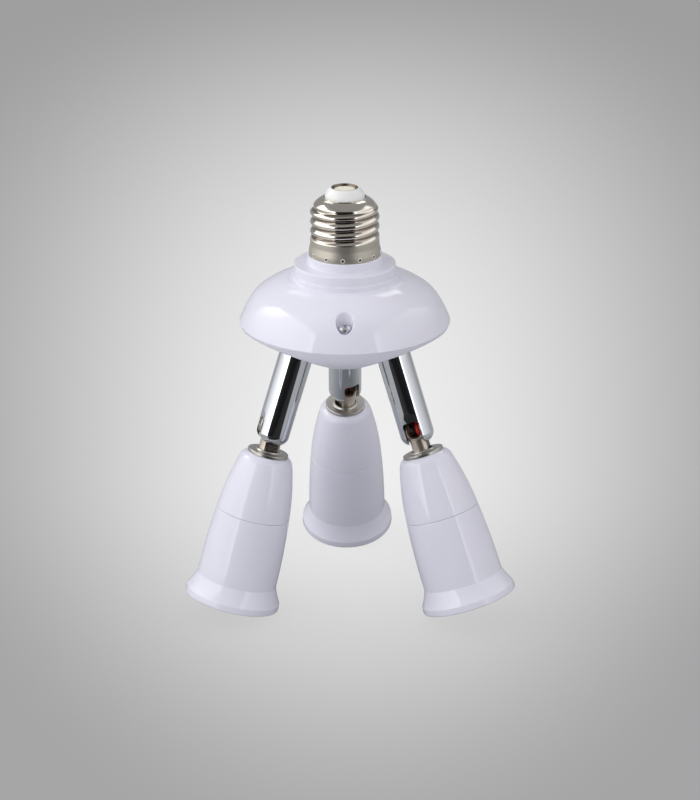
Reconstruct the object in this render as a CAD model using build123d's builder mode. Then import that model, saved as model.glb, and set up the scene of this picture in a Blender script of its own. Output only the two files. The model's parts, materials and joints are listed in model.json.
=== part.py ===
from build123d import *
from math import acos, cos, degrees, radians, sin, sqrt, tan
import os

# Three-way lamp socket adapter: a screw cap on a domed housing carries three chromed
# tubes, and each tube holds a lamp holder on a slotted ball swivel.
# Sizes are in millimetres. The origin is on the cap's axis at the foot of its straight
# threaded wall, with +Z up, so the lamp holders hang below.

# Screw cap for a 27 mm screw holder
cap_r = 13.1
cap_wall_h = 15.6
cap_sheet = 0.4
cap_skirt_drop = 1.6
cap_skirt_flare = 0.6
cap_shoulder_h = 4.7
cap_lip_r = 8.3
cap_lip_h = 0.6
insulator_wall_h = 1.5
insulator_h = 3.6
insulator_round_r = 7.05
insulator_round_h = 3.0
insulator_tip_r = 5.5
insulator_flange_r = 9.0
insulator_flange_h = 3.0
contact_r = 5.15
contact_lip_h = 0.7
contact_lip_w = 0.6
contact_sheet = 0.35
contact_stem_r = 1.5
contact_stem_l = 8.0

# Upper housing
spigot_h = 7.0
spigot_wall = 1.7
neck_r = 14.3
neck_h = 3.4
collar_r = 19.4
collar_h = 3.7
ledge_r = 20.45
ledge_h = 1.2
rim_r = 40.2
dome_w = 53.05
dome_h = 23.0
housing_wall = 2.4
step_round = 0.4

# Lower cover, with one flat facet under each tube
bowl_w = 12.0
bowl_h = 9.2
facet_tilt = 19.4
rim_band = 0.95
cover_wall = 2.4
lip_h = 2.0
lip_w = 1.2

# Screws that join the two halves, one between each pair of tubes
screw_count = 3
screw_inset = 6.5
pocket_r = 3.6
pocket_depth = 4.6
pocket_floor = 2.0
pocket_wall = 1.6
post_r = 2.8
screw_head_r = 2.75
screw_head_h = 1.7
screw_shank_r = 1.5
screw_bite = 6.0

# Arm tube, nipple and nut
tube_inset = 19.9
tube_r = 6.5
tube_bore_r = 5.3
tube_reach = 33.4
tube_end = 5.2
tube_end_round = 4.0
nipple_bore_r = 3.6
nipple_lead = 1.0
nut_flats = 14.0
nut_h = 3.0
tab_reach = 9.7
tab_w = 1.4
tab_h = 1.0
stop_w = 1.2
stop_l = 1.8
stop_h = 2.2
stop_angle = 110.0

# Ball swivel
neck_round_r = 4.0
neck_flats = 6.0
slot_play = 0.35
neck_play = 0.5
ball_gap = 0.1
ball_cavity_r = 3.7
stud_bore_r = 2.2
window_w = 5.0
window_drop = 2.2
window_back = 1.5
slot_head = 4.4
slot_corner_r = 1.5
seat_foot = 2.0
seat_top = 7.0
seat_hole_r = 2.4
spring_sheet = 0.4
spring_rise = 1.0
stud_reach = 9.7
foot_collar_r = 4.5
foot_collar_h = 0.8
washer_r = 7.9
washer_h = 1.3
stud_nut_flats = 13.0
stud_nut_h = 4.0
stud_tail = 1.5

# Lamp holder: a cap and a flanged sleeve around the screw shell
holder_top_r = 8.6
holder_brow_r = 10.05
holder_brow_s = 1.6
holder_waist_r = 13.15
holder_waist_s = 15.0
holder_joint_r = 14.25
holder_joint_s = 24.1
holder_cap_wall = 1.75
holder_top_wall = 2.5
sleeve_mid_r = 15.16
flare_r = 15.48
flare_h = 10.3
flange_bend_r = 16.85
flange_bend_h = 6.2
flange_r = 18.45
flange_lip_h = 1.5
holder_l = 59.9
flange_round = 0.5
plug_r = 12.1
plug_l = 6.0
plug_wall = 1.6
shell_bore_r = 13.35
shell_sheet = 0.4
shell_top_eye_r = 7.0
shell_neck_r = 12.3
shell_neck_h = 4.6
mouth_inset = 2.2
base_h = 2.4
web_s = 29.5

# Contacts and wires
tongue_w = 4.4
tongue_sheet = 0.5
tongue_foot_x = -6.6
tongue_bend_x = -2.6
tongue_tip_x = 4.0
tongue_drop = 4.2
rivet_r = 1.0
rivet_head_r = 1.6
rivet_head_h = 0.8
tongue_rivet_x = -4.9
shell_rivet_x = 8.8
wire_r = 0.85
wire_pitch = 2.3
wire_foot = 0.4
wire_tail = 2.5
lead_bend_r = 4.0
splice_r = 3.0
splice_l = 13.0
splice_pitch = 8.0

# Clearance between pieces that seat in each other, and between faces that turn on each other
fit_gap = 0.1
turn_gap = 0.12

# Azimuth of each arm, the turn of its slot from straight outwards, and the lean of its
# holder into the slot and across it, in degrees
azimuth_angle = {"left": 210.0, "middle": 90.0, "right": 330.0}
slot_angle = {"left": -16.9, "middle": -150.6, "right": -71.0}
lean_in_angle = {"left": -3.2, "middle": 2.8, "right": 2.2}
lean_across_angle = {"left": -1.1, "middle": -0.8, "right": 1.3}
quarter_angle = 90.0

# Heights on the cap's axis
cap_foot_z = -cap_skirt_drop
shoulder_z = cap_wall_h + cap_shoulder_h
cap_lip_z = shoulder_z + cap_lip_h
cap_eye_r = cap_lip_r - cap_sheet
tip_z = cap_lip_z + insulator_h
contact_z = tip_z - contact_lip_h
collar_top_z = cap_foot_z - neck_h
ledge_top_z = collar_top_z - collar_h
dome_top_z = ledge_top_z - ledge_h
dome_ctr_r = rim_r - dome_w
dome_turn = acos((ledge_r - dome_ctr_r) / dome_w)
parting_z = dome_top_z - dome_h * sin(dome_turn)
apex_drop = rim_r * tan(radians(facet_tilt)) + rim_band
apex_z = parting_z - apex_drop
cap_bore_r = cap_r - cap_sheet
spigot_r = cap_bore_r - fit_gap
spigot_bore_r = spigot_r - spigot_wall

# The screw pockets are sunk from the height of the dome above their own axis
screw_ring_r = rim_r - screw_inset
pocket_dome_z = parting_z + dome_h * sin(acos((screw_ring_r - dome_ctr_r) / dome_w))
pocket_floor_z = pocket_dome_z - pocket_depth
boss_foot_z = pocket_floor_z - pocket_floor
boss_r = pocket_r + pocket_wall

# The ball centre lies on the tube's axis, square to the facet
ball_r = tube_bore_r - ball_gap
nipple_r = tube_bore_r - fit_gap
tube_seat_r = rim_r - tube_inset
seat_z = apex_z + tube_seat_r * tan(radians(facet_tilt))
tube_top = tube_reach - turn_gap
nut_z = tube_reach + cover_wall + turn_gap
nipple_top = nut_z + nut_h + nipple_lead
spring_top = seat_top + spring_rise
neck_half = neck_flats / 2
slot_half = neck_half + slot_play
neck_foot = stud_reach - washer_h - foot_collar_h
end_hole_r = neck_round_r + neck_play

# Depths inside the holder, from its top face
flare_s = holder_l - flare_h
flange_bend_s = holder_l - flange_bend_h
flange_s = holder_l - flange_lip_h
sleeve_mid_s = (holder_joint_s + flare_s) / 2
base_foot_s = web_s + base_h
shell_neck_s = base_foot_s + shell_neck_h
shell_foot_s = holder_l - mouth_inset
sleeve_bore_r = shell_bore_r + shell_sheet + fit_gap
plug_top_s = holder_joint_s - plug_l
stud_nut_s = holder_top_wall
stud_foot = stud_reach + holder_top_wall + stud_nut_h + stud_tail


def arm_plane(azimuth, turn):
    """Plane at the ball centre: Z up the tube's axis, X towards the slot."""
    around = radians(azimuth)
    tilt = radians(facet_tilt)
    outward = Vector(cos(around), sin(around), 0)
    sideways = Vector(-sin(around), cos(around), 0)
    up_tube = outward * -sin(tilt) + Vector(0, 0, 1) * cos(tilt)
    square_out = outward * cos(tilt) + Vector(0, 0, 1) * sin(tilt)
    slot_way = square_out * cos(radians(turn)) + sideways * sin(radians(turn))
    ball = outward * tube_seat_r + Vector(0, 0, seat_z) - up_tube * tube_reach
    return Plane(origin=ball, x_dir=slot_way, z_dir=up_tube)


def facet_plane(azimuth, inset):
    """Plane of the facet under an arm, moved up into the cover by an inset."""
    up_tube = arm_plane(azimuth, 0).z_dir
    return Plane(origin=Vector(0, 0, apex_z) + up_tube * inset, z_dir=up_tube)


def depth(s):
    """Height in the holder's own frame of a depth below its top face."""
    return -(stud_reach + s)


arm_planes = {side: arm_plane(azimuth, slot_angle[side]) for side, azimuth in azimuth_angle.items()}
azimuths = list(azimuth_angle.values())

# Cap shell: one drawn sheet, flared skirt, straight wall, round shoulder and upturned lip
with BuildPart() as cap_shell:
    with BuildSketch(Plane.XZ):
        with BuildLine():
            Polyline(
                (cap_r, cap_wall_h),
                (cap_r, 0),
                (cap_r + cap_skirt_flare, cap_foot_z),
                (cap_bore_r + cap_skirt_flare, cap_foot_z),
                (cap_bore_r, 0),
                (cap_bore_r, cap_wall_h),
            )
            TangentArc((cap_bore_r, cap_wall_h), (cap_eye_r, shoulder_z - cap_sheet), tangent=(0, 1))
            Polyline(
                (cap_eye_r, shoulder_z - cap_sheet),
                (cap_eye_r, cap_lip_z),
                (cap_lip_r, cap_lip_z),
                (cap_lip_r, shoulder_z),
            )
            TangentArc((cap_r, cap_wall_h), (cap_lip_r, shoulder_z), tangent=(0, 1))
        make_face()
    revolve(axis=Axis.Z)

# Cap insulator: a round-topped plug in the lip, with its flange inside the shoulder
insulator_neck_r = cap_eye_r - fit_gap
flange_top_z = shoulder_z - cap_sheet - insulator_flange_r + insulator_neck_r
with BuildPart() as cap_insulator:
    with BuildSketch(Plane.XZ):
        with BuildLine():
            Polyline(
                (insulator_tip_r, tip_z),
                (contact_r, tip_z),
                (contact_r, contact_z),
                (contact_stem_r + fit_gap, contact_z),
                (contact_stem_r + fit_gap, flange_top_z - insulator_flange_h),
                (insulator_flange_r, flange_top_z - insulator_flange_h),
                (insulator_flange_r, flange_top_z),
                (insulator_neck_r, flange_top_z),
                (insulator_neck_r, cap_lip_z + insulator_wall_h),
            )
            ThreePointArc(
                (insulator_neck_r, cap_lip_z + insulator_wall_h),
                (insulator_round_r, cap_lip_z + insulator_round_h),
                (insulator_tip_r, tip_z),
            )
        make_face()
    revolve(axis=Axis.Z)

# Centre contact: a dished disc let into the insulator, on a rivet stem
with BuildPart() as centre_contact:
    with BuildSketch(Plane.XZ):
        with BuildLine():
            Polyline(
                (0, contact_z - contact_stem_l),
                (contact_stem_r, contact_z - contact_stem_l),
                (contact_stem_r, contact_z),
                (contact_r, contact_z),
                (contact_r, tip_z),
                (contact_r - contact_lip_w, tip_z),
                (contact_r - contact_lip_w - contact_sheet, contact_z + contact_sheet),
                (0, contact_z + contact_sheet),
                close=True,
            )
        make_face()
    revolve(axis=Axis.Z)

# Space inside the upper housing, with the three screw bosses left standing in it
inner_dome_w = dome_w - housing_wall
inner_dome_h = dome_h - housing_wall
ceiling_r = ledge_r - housing_wall
ceiling_turn = acos((ceiling_r - dome_ctr_r) / inner_dome_w)
ceiling_z = parting_z + inner_dome_h * sin(ceiling_turn)
with BuildPart() as housing_space:
    with BuildSketch(Plane.XZ):
        with BuildLine():
            Polyline(
                (rim_r - housing_wall, parting_z),
                (0, parting_z),
                (0, spigot_h + cap_foot_z),
                (spigot_bore_r, spigot_h + cap_foot_z),
                (spigot_bore_r, ceiling_z),
                (ceiling_r, ceiling_z),
            )
            EllipticalCenterArc(
                (dome_ctr_r, parting_z), inner_dome_w, inner_dome_h, arc_size=degrees(ceiling_turn)
            )
        make_face()
    revolve(axis=Axis.Z)
    with BuildSketch(Plane.XY.offset(boss_foot_z)):
        with PolarLocations(screw_ring_r, screw_count, start_angle=-quarter_angle):
            Circle(boss_r)
    extrude(amount=spigot_h - boss_foot_z, mode=Mode.SUBTRACT)

# Upper housing: spigot for the cap, stepped collar, dome and sunk screw pockets
step_corners = [(neck_r, cap_foot_z), (collar_r, collar_top_z), (ledge_r, ledge_top_z)]
with BuildPart() as upper_housing:
    with BuildSketch(Plane.XZ):
        with BuildLine():
            Polyline(
                (rim_r, parting_z),
                (0, parting_z),
                (0, spigot_h + cap_foot_z),
                (spigot_r, spigot_h + cap_foot_z),
                (spigot_r, cap_foot_z),
                (neck_r, cap_foot_z),
                (neck_r, collar_top_z),
                (collar_r, collar_top_z),
                (collar_r, ledge_top_z),
                (ledge_r, ledge_top_z),
                (ledge_r, dome_top_z),
            )
            EllipticalCenterArc((dome_ctr_r, parting_z), dome_w, dome_h, arc_size=degrees(dome_turn))
        make_face()
        fillet([vertices().sort_by_distance(corner)[0] for corner in step_corners], step_round)
    revolve(axis=Axis.Z)
    add(housing_space.part, mode=Mode.SUBTRACT)
    with BuildSketch(Plane.XY.offset(pocket_floor_z)):
        with PolarLocations(screw_ring_r, screw_count, start_angle=-quarter_angle):
            Circle(pocket_r)
    extrude(amount=-pocket_floor_z, mode=Mode.SUBTRACT)
    with BuildSketch(Plane.XY.offset(pocket_floor_z)):
        with PolarLocations(screw_ring_r, screw_count, start_angle=-quarter_angle):
            Circle(screw_shank_r + fit_gap)
    extrude(amount=-pocket_floor, mode=Mode.SUBTRACT)

# Space inside the lower cover, with the three screw posts left standing in it
with BuildPart() as cover_space:
    with BuildSketch(Plane.XZ):
        with BuildLine():
            EllipticalCenterArc(
                (rim_r - bowl_w, parting_z),
                bowl_w - cover_wall,
                bowl_h - cover_wall,
                arc_size=-quarter_angle,
            )
            Polyline(
                (rim_r - bowl_w, parting_z - bowl_h + cover_wall),
                (0, parting_z - bowl_h + cover_wall - apex_drop),
                (0, parting_z),
                (rim_r - cover_wall, parting_z),
            )
        make_face()
    revolve(axis=Axis.Z)
    for azimuth in azimuths:
        split(bisect_by=facet_plane(azimuth, cover_wall), keep=Keep.TOP)
    with BuildSketch(Plane.XY.offset(apex_z)):
        with PolarLocations(screw_ring_r, screw_count, start_angle=-quarter_angle):
            Circle(post_r)
    extrude(amount=apex_drop, mode=Mode.SUBTRACT)

# Lower cover: a bowl cut by three facets, with locating lip, screw posts and turn stops
lip_r = dome_ctr_r + inner_dome_w * sqrt(1 - (lip_h / inner_dome_h) ** 2) - fit_gap
with BuildPart() as lower_cover:
    with BuildSketch(Plane.XZ):
        with BuildLine():
            EllipticalCenterArc((rim_r - bowl_w, parting_z), bowl_w, bowl_h, arc_size=-quarter_angle)
            Polyline(
                (rim_r - bowl_w, parting_z - bowl_h),
                (0, parting_z - bowl_h - apex_drop),
                (0, parting_z),
                (rim_r, parting_z),
            )
        make_face()
    revolve(axis=Axis.Z)
    for azimuth in azimuths:
        split(bisect_by=facet_plane(azimuth, 0), keep=Keep.TOP)
    add(cover_space.part, mode=Mode.SUBTRACT)
    with BuildSketch(Plane.XY.offset(parting_z - lip_h)):
        Circle(lip_r)
        Circle(lip_r - lip_w, mode=Mode.SUBTRACT)
    extrude(amount=2 * lip_h)
    with BuildSketch(Plane.XY.offset(parting_z)):
        with PolarLocations(screw_ring_r, screw_count, start_angle=-quarter_angle):
            Circle(post_r)
    extrude(amount=boss_foot_z - parting_z)
    with BuildSketch(Plane.XY.offset(boss_foot_z)):
        with PolarLocations(screw_ring_r, screw_count, start_angle=-quarter_angle):
            Circle(screw_shank_r)
    extrude(amount=-screw_bite - fit_gap, mode=Mode.SUBTRACT)
    for azimuth in azimuths:
        with BuildSketch(arm_plane(azimuth, 0).offset(tube_reach)):
            Circle(nipple_r + fit_gap)
        extrude(amount=cover_wall, mode=Mode.SUBTRACT)
        with BuildSketch(arm_plane(azimuth, stop_angle).offset(tube_reach + cover_wall)):
            with Locations((tab_reach, 0)):
                Rectangle(stop_l, stop_w)
        extrude(amount=stop_h)

# Housing screws: pan heads down the pockets, shanks into the cover's posts
with BuildPart() as housing_screw:
    with BuildSketch(Plane.XY.offset(pocket_floor_z)):
        Circle(screw_head_r)
    extrude(amount=screw_head_h)
    fillet(edges().group_by(Axis.Z)[-1], screw_head_h / 2)
    with BuildSketch(Plane.XY.offset(pocket_floor_z)):
        Circle(screw_shank_r)
    extrude(amount=-pocket_floor - screw_bite)

with BuildPart() as housing_screws:
    with PolarLocations(screw_ring_r, screw_count, start_angle=-quarter_angle):
        add(housing_screw.part)

# Splice caps: two closed crimp barrels that stand on the floor of the cover
splice_reach = splice_pitch / 2 + splice_r
splice_foot_z = apex_z + cover_wall / cos(radians(facet_tilt)) + splice_reach * tan(radians(facet_tilt))
splice_top_z = splice_foot_z + splice_l
with BuildPart() as wire_splices:
    with BuildSketch(Plane.XY.offset(splice_foot_z)):
        with GridLocations(splice_pitch, 0, 2, 1):
            Circle(splice_r)
    extrude(amount=splice_l)
    fillet(edges().group_by(Axis.Z)[0], splice_r / 2)

# Cap leads: from the centre contact and the cap's skirt down to the splice caps
lead_top_z = contact_z - contact_stem_l - fit_gap
lead_wall_r = spigot_bore_r - wire_r - fit_gap
lead_bends = [
    (
        Vector(0, 0, lead_top_z),
        Vector(0, 0, collar_top_z),
        Vector(splice_pitch / 2, 0, dome_top_z),
        Vector(splice_pitch / 2, 0, splice_top_z),
    ),
    (
        Vector(-lead_wall_r, 0, spigot_h + cap_foot_z),
        Vector(-lead_wall_r, 0, collar_top_z),
        Vector(-splice_pitch / 2, 0, dome_top_z),
        Vector(-splice_pitch / 2, 0, splice_top_z),
    ),
]
with BuildPart() as cap_leads:
    for bends in lead_bends:
        with BuildLine() as lead_path:
            FilletPolyline(*bends, radius=lead_bend_r)
        with BuildSketch(Plane(origin=bends[0], z_dir=bends[1] - bends[0])):
            Circle(wire_r)
        sweep(path=lead_path.wires()[0])

# Arm tube: drawn end closed round the ball, bore, and the slot that lets the neck swing out
with BuildPart() as arm_tube:
    with BuildSketch(Plane.XZ):
        with BuildLine():
            Polyline(
                (tube_r, tube_end_round - tube_end),
                (tube_r, tube_top),
                (0, tube_top),
                (0, -tube_end),
                (tube_r - tube_end_round, -tube_end),
            )
            TangentArc(
                (tube_r, tube_end_round - tube_end), (tube_r - tube_end_round, -tube_end), tangent=(0, -1)
            )
        make_face()
    revolve(axis=Axis.Z)
    with BuildSketch(Plane.XZ):
        with BuildLine():
            Polyline(
                (end_hole_r, -sqrt(tube_bore_r**2 - end_hole_r**2)),
                (end_hole_r, -tube_end),
                (0, -tube_end),
                (0, tube_top),
                (tube_bore_r, tube_top),
                (tube_bore_r, 0),
            )
            RadiusArc(
                (tube_bore_r, 0), (end_hole_r, -sqrt(tube_bore_r**2 - end_hole_r**2)), tube_bore_r
            )
        make_face()
    revolve(axis=Axis.Z, mode=Mode.SUBTRACT)
    with BuildSketch(Plane.YZ):
        with Locations((0, (slot_head - tube_end) / 2)):
            Rectangle(2 * slot_half, slot_head + tube_end)
        fillet(vertices().group_by(Axis.Y)[-1], slot_corner_r)
    extrude(amount=tube_r, mode=Mode.SUBTRACT)

# Nipple: threaded pipe that holds the tube to the cover and presses on the spring
with BuildPart() as tube_nipple:
    with BuildSketch(Plane.XY.offset(spring_top)):
        Circle(nipple_r)
        Circle(nipple_bore_r, mode=Mode.SUBTRACT)
    extrude(amount=nipple_top - spring_top)

# Nipple nut: hexagon with one tab that meets the cover's stop
with BuildPart() as nipple_nut:
    with BuildSketch(Plane.XY.offset(nut_z)):
        RegularPolygon(nut_flats / 2, 6, major_radius=False)
        Circle(nipple_r + fit_gap, mode=Mode.SUBTRACT)
    extrude(amount=nut_h)
    with BuildSketch(Plane.XY.offset(nut_z)):
        with Locations((nut_flats / 2 - tab_h, 0)):
            Rectangle(tab_reach - nut_flats / 2 + tab_h, tab_w, align=(Align.MIN, Align.CENTER))
    extrude(amount=tab_h)

# Ball seat: a collar that bears on the ball, relieved where the neck swings into the slot
with BuildPart() as ball_seat:
    with BuildSketch(Plane.XY.offset(seat_foot)):
        Circle(tube_bore_r - fit_gap)
        Circle(seat_hole_r, mode=Mode.SUBTRACT)
    extrude(amount=seat_top - seat_foot)
    Sphere(tube_bore_r, mode=Mode.SUBTRACT)
    with BuildSketch(Plane.YZ):
        with Locations((0, slot_head / 2)):
            Rectangle(2 * slot_half, slot_head)
    extrude(amount=tube_r, mode=Mode.SUBTRACT)

# Cone spring: a dished steel washer between the seat and the nipple
spring_r = nipple_r - fit_gap
with BuildPart() as cone_spring:
    with BuildSketch(Plane.XZ):
        with BuildLine():
            Polyline(
                (spring_r, seat_top),
                (spring_r, seat_top + spring_sheet),
                (seat_hole_r, spring_top),
                (seat_hole_r, spring_top - spring_sheet),
                close=True,
            )
        make_face()
    revolve(axis=Axis.Z)


def tube_wire(side_step):
    """One insulated wire down the tube, ending inside the hollow ball."""
    with BuildPart() as wire:
        with BuildSketch(Plane.XY.offset(-wire_foot)):
            with Locations((0, side_step)):
                Circle(wire_r)
        extrude(amount=nipple_top + wire_tail + wire_foot)
    return wire


live_wire = tube_wire(wire_pitch / 2)
neutral_wire = tube_wire(-wire_pitch / 2)

# Ball stud: hollow ball with a wire window, flatted neck, foot collar and threaded tail
with BuildPart() as ball_stud:
    Sphere(ball_r)
    with BuildSketch():
        Circle(neck_round_r)
        Rectangle(2 * neck_round_r, neck_flats, mode=Mode.INTERSECT)
    extrude(amount=-neck_foot)
    with BuildSketch(Plane.XY.offset(-neck_foot)):
        Circle(foot_collar_r)
    extrude(amount=-foot_collar_h)
    with BuildSketch(Plane.XY.offset(-neck_foot - foot_collar_h)):
        Circle(neck_round_r)
    extrude(amount=neck_foot + foot_collar_h - stud_foot)
    Sphere(ball_cavity_r, mode=Mode.SUBTRACT)
    with BuildSketch():
        Circle(stud_bore_r)
    extrude(amount=-stud_foot, mode=Mode.SUBTRACT)
    with BuildSketch(Plane.YZ.offset(-window_back)):
        with Locations((0, (ball_r - window_drop) / 2)):
            Rectangle(window_w, ball_r + window_drop)
        fillet(vertices().group_by(Axis.Y)[0], window_w / 2 - fit_gap)
    extrude(amount=ball_r + window_back, mode=Mode.SUBTRACT)

# Washer between the stud's foot collar and the holder
with BuildPart() as holder_washer:
    with BuildSketch(Plane.XY.offset(depth(0))):
        Circle(washer_r)
        Circle(neck_round_r + fit_gap, mode=Mode.SUBTRACT)
    extrude(amount=washer_h)
    fillet(edges().group_by(Axis.Z)[-1].sort_by(SortBy.RADIUS)[-1], washer_h / 3)

# Nut that draws the stud tight inside the holder's cap
with BuildPart() as stud_nut:
    with BuildSketch(Plane.XY.offset(depth(stud_nut_s))):
        RegularPolygon(stud_nut_flats / 2, 6, major_radius=False)
        Circle(neck_round_r + fit_gap, mode=Mode.SUBTRACT)
    extrude(amount=-stud_nut_h)

# Holder cap: a moulded bullet-shaped cover with a socket for the sleeve's plug
with BuildPart() as holder_cap:
    with BuildSketch(Plane.XZ):
        with BuildLine():
            Polyline(
                (holder_joint_r, depth(holder_joint_s)),
                (plug_r + fit_gap, depth(holder_joint_s)),
                (plug_r + fit_gap, depth(plug_top_s)),
                (plug_r - fit_gap, depth(plug_top_s)),
            )
            ThreePointArc(
                (plug_r - fit_gap, depth(plug_top_s)),
                (holder_waist_r - holder_cap_wall, depth(holder_waist_s)),
                (holder_top_r, depth(holder_top_wall)),
            )
            Polyline(
                (holder_top_r, depth(holder_top_wall)),
                (neck_round_r + fit_gap, depth(holder_top_wall)),
                (neck_round_r + fit_gap, depth(0)),
                (holder_top_r, depth(0)),
            )
            TangentArc(
                (holder_top_r, depth(0)), (holder_brow_r, depth(holder_brow_s)), tangent=(1, 0)
            )
            ThreePointArc(
                (holder_brow_r, depth(holder_brow_s)),
                (holder_waist_r, depth(holder_waist_s)),
                (holder_joint_r, depth(holder_joint_s)),
            )
        make_face()
    revolve(axis=Axis.Z)

# Holder sleeve: plug for the cap, web over the contact base, barrel and flared flange
with BuildPart() as holder_sleeve:
    with BuildSketch(Plane.XZ):
        with BuildLine():
            Polyline(
                (holder_joint_r, depth(holder_joint_s)),
                (plug_r, depth(holder_joint_s)),
                (plug_r, depth(plug_top_s + fit_gap)),
                (plug_r - plug_wall, depth(plug_top_s + fit_gap)),
                (plug_r - plug_wall, depth(web_s)),
                (sleeve_bore_r, depth(web_s)),
                (sleeve_bore_r, depth(holder_l)),
                (flange_r, depth(holder_l)),
                (flange_r, depth(flange_s)),
            )
            ThreePointArc(
                (holder_joint_r, depth(holder_joint_s)),
                (sleeve_mid_r, depth(sleeve_mid_s)),
                (flare_r, depth(flare_s)),
            )
            flare = TangentArc(
                (flare_r, depth(flare_s)), (flange_bend_r, depth(flange_bend_s)), tangent=(0, -1)
            )
            TangentArc(flare @ 1, (flange_r, depth(flange_s)), tangent=flare % 1)
        make_face()
        fillet(vertices().sort_by_distance((flange_r, depth(holder_l)))[0], flange_round)
    revolve(axis=Axis.Z)

# Contact base: an insulating disc under the sleeve's web
base_r = sleeve_bore_r - fit_gap
with BuildPart() as contact_base:
    with BuildSketch(Plane.XY.offset(depth(web_s))):
        Circle(base_r)
        with Locations((tongue_rivet_x, 0), (shell_rivet_x, 0)):
            Circle(rivet_r, mode=Mode.SUBTRACT)
    extrude(amount=-base_h)

# Screw shell: a drawn cup with a narrower neck, whose top flange is riveted to the base
with BuildPart() as screw_shell:
    with BuildSketch(Plane.XZ):
        with BuildLine():
            Polyline(
                (shell_top_eye_r, depth(base_foot_s)),
                (shell_neck_r + shell_sheet, depth(base_foot_s)),
                (shell_neck_r + shell_sheet, depth(shell_neck_s)),
                (shell_bore_r + shell_sheet, depth(shell_neck_s)),
                (shell_bore_r + shell_sheet, depth(shell_foot_s)),
                (shell_bore_r, depth(shell_foot_s)),
                (shell_bore_r, depth(shell_neck_s + shell_sheet)),
                (shell_neck_r, depth(shell_neck_s + shell_sheet)),
                (shell_neck_r, depth(base_foot_s + shell_sheet)),
                (shell_top_eye_r, depth(base_foot_s + shell_sheet)),
                close=True,
            )
        make_face()
    revolve(axis=Axis.Z)
    with BuildSketch(Plane.XY.offset(depth(base_foot_s))):
        with Locations((shell_rivet_x, 0)):
            Circle(rivet_r)
    extrude(amount=-shell_sheet, mode=Mode.SUBTRACT)

# Centre tongue: a sprung strip bent down from its rivet to meet the lamp's contact
tongue_top = depth(base_foot_s)
with BuildPart() as centre_tongue:
    with BuildSketch(Plane.XZ):
        with BuildLine():
            Polyline(
                (tongue_foot_x, tongue_top),
                (tongue_bend_x, tongue_top),
                (0, tongue_top - tongue_drop + tongue_sheet),
                (tongue_tip_x, tongue_top - tongue_drop + tongue_sheet),
                (tongue_tip_x, tongue_top - tongue_drop),
                (-tongue_sheet, tongue_top - tongue_drop),
                (tongue_bend_x - tongue_sheet, tongue_top - tongue_sheet),
                (tongue_foot_x, tongue_top - tongue_sheet),
                close=True,
            )
        make_face()
    extrude(amount=tongue_w / 2, both=True)
    with BuildSketch(Plane.XY.offset(tongue_top)):
        with Locations((tongue_rivet_x, 0)):
            Circle(rivet_r)
    extrude(amount=-tongue_sheet, mode=Mode.SUBTRACT)

# Contact rivets: one through the tongue and one through the shell's flange
with BuildPart() as contact_rivets:
    for rivet_x, grip in ((tongue_rivet_x, tongue_sheet), (shell_rivet_x, shell_sheet)):
        with BuildSketch(Plane.XY.offset(depth(web_s))):
            with Locations((rivet_x, 0)):
                Circle(rivet_head_r)
        extrude(amount=rivet_head_h)
        with BuildSketch(Plane.XY.offset(depth(web_s))):
            with Locations((rivet_x, 0)):
                Circle(rivet_r)
        extrude(amount=-base_h - grip)
        with BuildSketch(Plane.XY.offset(depth(base_foot_s + grip))):
            with Locations((rivet_x, 0)):
                Circle(rivet_head_r)
        extrude(amount=-rivet_head_h)

# Holder leads: from the stud's bore to the two rivets
rivet_top = depth(web_s) + rivet_head_h
with BuildPart() as holder_leads:
    for rivet_x, side_step in ((tongue_rivet_x, wire_pitch / 2), (shell_rivet_x, -wire_pitch / 2)):
        drop = Vector(0, side_step, -ball_r)
        turn_in = Vector(0, side_step, -stud_foot - lead_bend_r)
        turn_out = Vector(rivet_x, 0, rivet_top + lead_bend_r + wire_pitch)
        land = Vector(rivet_x, 0, rivet_top + fit_gap)
        with BuildLine() as lead_path:
            FilletPolyline(drop, turn_in, turn_out, land, radius=lead_bend_r / 2)
        with BuildSketch(Plane(origin=drop, z_dir=turn_in - drop)):
            Circle(wire_r)
        sweep(path=lead_path.wires()[0])

# Every piece with its own file: the base as it stands, and each arm's pieces in place
base_pieces = {
    "cap_shell": cap_shell,
    "cap_insulator": cap_insulator,
    "centre_contact": centre_contact,
    "upper_housing": upper_housing,
    "lower_cover": lower_cover,
    "housing_screws": housing_screws,
    "wire_splices": wire_splices,
    "cap_leads": cap_leads,
}
tube_pieces = {
    "arm_tube": arm_tube,
    "tube_nipple": tube_nipple,
    "nipple_nut": nipple_nut,
    "ball_seat": ball_seat,
    "cone_spring": cone_spring,
    "live_wire": live_wire,
    "neutral_wire": neutral_wire,
}
holder_pieces = {
    "ball_stud": ball_stud,
    "holder_washer": holder_washer,
    "stud_nut": stud_nut,
    "holder_cap": holder_cap,
    "holder_sleeve": holder_sleeve,
    "contact_base": contact_base,
    "screw_shell": screw_shell,
    "centre_tongue": centre_tongue,
    "contact_rivets": contact_rivets,
    "holder_leads": holder_leads,
}

os.makedirs("parts", exist_ok=True)
for name, piece in base_pieces.items():
    piece.part.label = name
    export_step(piece.part, f"parts/{name}.step")

for side, plane in arm_planes.items():
    tube_place = plane.location
    holder_place = tube_place * Rot(0, -lean_in_angle[side], 0) * Rot(lean_across_angle[side], 0, 0)
    placed = {name: piece.part.moved(tube_place) for name, piece in tube_pieces.items()}
    placed |= {name: piece.part.moved(holder_place) for name, piece in holder_pieces.items()}
    for name, solid in placed.items():
        solid.label = f"{side}_{name}"
        export_step(solid, f"parts/{side}_{name}.step")
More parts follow.
